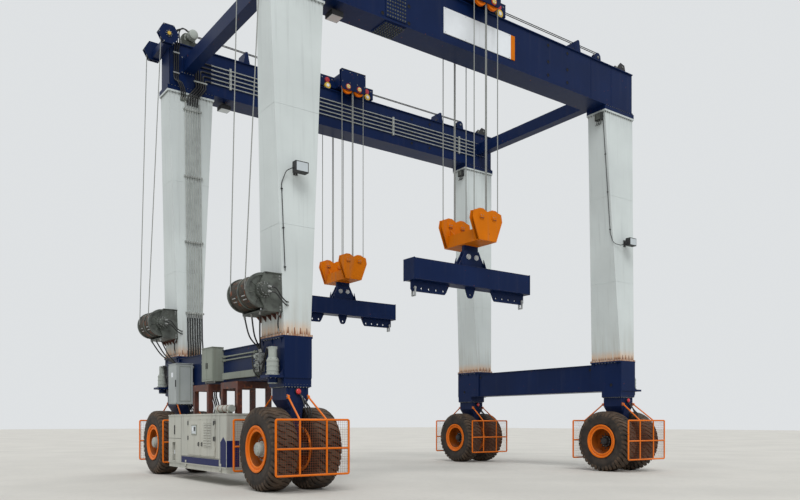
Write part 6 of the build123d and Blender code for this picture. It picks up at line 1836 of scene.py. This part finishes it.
class CRANE_OT_lamps(CraneStep, bpy.types.Operator):
    """Floodlights: glass fronts, frames, cooling fins and brackets"""

    bl_idname = "crane.lamps"
    bl_label = "Floodlights"

    def execute(self, context):
        dress("dark", "floodlights")
        lamps = Shape("dark")
        for side in (-1, 1):
            x, y = MID_X - 4.25, side * GIRDER_Y
            low = GIRDER_BOTTOM - 0.09 - 0.11
            lamps.box((x - 0.135, y - 0.135, low), (x + 0.135, y + 0.135, low - 0.006), "glass")
            for step in range(9):
                fin = x - 0.12 + 0.03 * step
                lamps.box((fin - 0.004, y - 0.14, low + 0.11), (fin + 0.004, y + 0.14, low + 0.135))
        for way in (-1, 1):
            x = MID_X + way * STATION_X
            front = -leg_front(6.675) - 0.16 - 0.15
            lamps.box((x - 0.13, front, 6.61), (x + 0.13, front - 0.006, 6.79), "glass")
            for step in range(8):
                fin = x - 0.12 + 0.034 * step
                lamps.box((fin - 0.004, front + 0.15, 6.60), (fin + 0.004, front + 0.175, 6.80))
            wall = -leg_front(6.7)
            lamps.box((x - 0.05, wall - 0.012, 6.60), (x + 0.05, wall, 6.80))
            lamps.bolt((x, wall - 0.012, 6.62), (0, -1, 0), 0.02)
            lamps.bolt((x, wall - 0.012, 6.78), (0, -1, 0), 0.02)
        lamps.make("lamp_detail", "portal")
        return {"FINISHED"}


class CRANE_OT_stage(CraneStep, bpy.types.Operator):
    """Floor, soft light and the camera at the photograph's viewing angle"""

    bl_idname = "crane.stage"
    bl_label = "Stage"

    def execute(self, context):
        self.floor()
        self.light()
        self.camera()
        return {"FINISHED"}

    def floor(self):
        mesh = bpy.data.meshes.new("stage_floor")
        mesh.from_pydata([(-90, -60, 0), (120, -60, 0), (120, 150, 0), (-90, 150, 0)], [], [(0, 1, 2, 3)])
        mesh.materials.append(floor_concrete("floor"))
        floor = bpy.data.objects.new("stage_floor", mesh)
        bpy.context.scene.collection.objects.link(floor)

    def light(self):
        world = bpy.data.worlds.new("soft_sky")
        bpy.context.scene.world = world
        world.use_nodes = True
        background = world.node_tree.nodes["Background"]
        background.inputs["Color"].default_value = (*linear(238, 241, 243), 1.0)
        background.inputs["Strength"].default_value = 0.86
        bpy.context.scene.view_settings.view_transform = "Standard"
        sun = bpy.data.lights.new("soft_sun", "SUN")
        sun.energy = 1.5
        sun.angle = math.radians(30)
        lamp = bpy.data.objects.new("soft_sun", sun)
        lamp.rotation_euler = (math.radians(38), math.radians(-8), math.radians(-24))
        bpy.context.scene.collection.objects.link(lamp)

    def camera(self):
        eye = bpy.data.cameras.new("photo_view")
        eye.sensor_width = 36.0
        eye.lens = 33.75
        eye.shift_y = (422.2 - 250) / 800
        eye.clip_end = 500
        camera = bpy.data.objects.new("photo_view", eye)
        camera.location = portal(-12.947, -17.491, 1.431)
        camera.rotation_euler = (math.radians(90), 0, math.radians(-36.12))
        bpy.context.scene.collection.objects.link(camera)
        bpy.context.scene.camera = camera


STEPS = (
    CRANE_OT_stage,
    CRANE_OT_tyres,
    CRANE_OT_rims,
    CRANE_OT_guards,
    CRANE_OT_yokes,
    CRANE_OT_saddles,
    CRANE_OT_legs,
    CRANE_OT_girders,
    CRANE_OT_trolleys,
    CRANE_OT_ropes,
    CRANE_OT_blocks,
    CRANE_OT_beams,
    CRANE_OT_winches,
    CRANE_OT_tops,
    CRANE_OT_canopy,
    CRANE_OT_saddle_gear,
    CRANE_OT_lamps,
)


class CRANE_PT_panel(bpy.types.Panel):
    """Lists the steps that dress the crane"""

    bl_idname = "CRANE_PT_panel"
    bl_label = "Gantry crane"
    bl_space_type = "VIEW_3D"
    bl_region_type = "UI"
    bl_category = "Crane"

    def draw(self, context):
        for step in STEPS:
            self.layout.operator(step.bl_idname)
        for group in (context.scene.crane_colours, context.scene.crane_sizes):
            for name in group.bl_rna.properties.keys():
                if name not in ("rna_type", "name"):
                    self.layout.prop(group, name)


CLASSES = (CraneColours, CraneSizes, *STEPS, CRANE_PT_panel)


def register():
    for kind in CLASSES:
        bpy.utils.register_class(kind)
    bpy.types.Scene.crane_colours = bpy.props.PointerProperty(type=CraneColours)
    bpy.types.Scene.crane_sizes = bpy.props.PointerProperty(type=CraneSizes)


def unregister():
    del bpy.types.Scene.crane_sizes
    del bpy.types.Scene.crane_colours
    for kind in reversed(CLASSES):
        bpy.utils.unregister_class(kind)


def main():
    register()
    for step in STEPS:
        group, name = step.bl_idname.split(".")
        getattr(getattr(bpy.ops, group), name)()


if __name__ == "__main__":
    main()
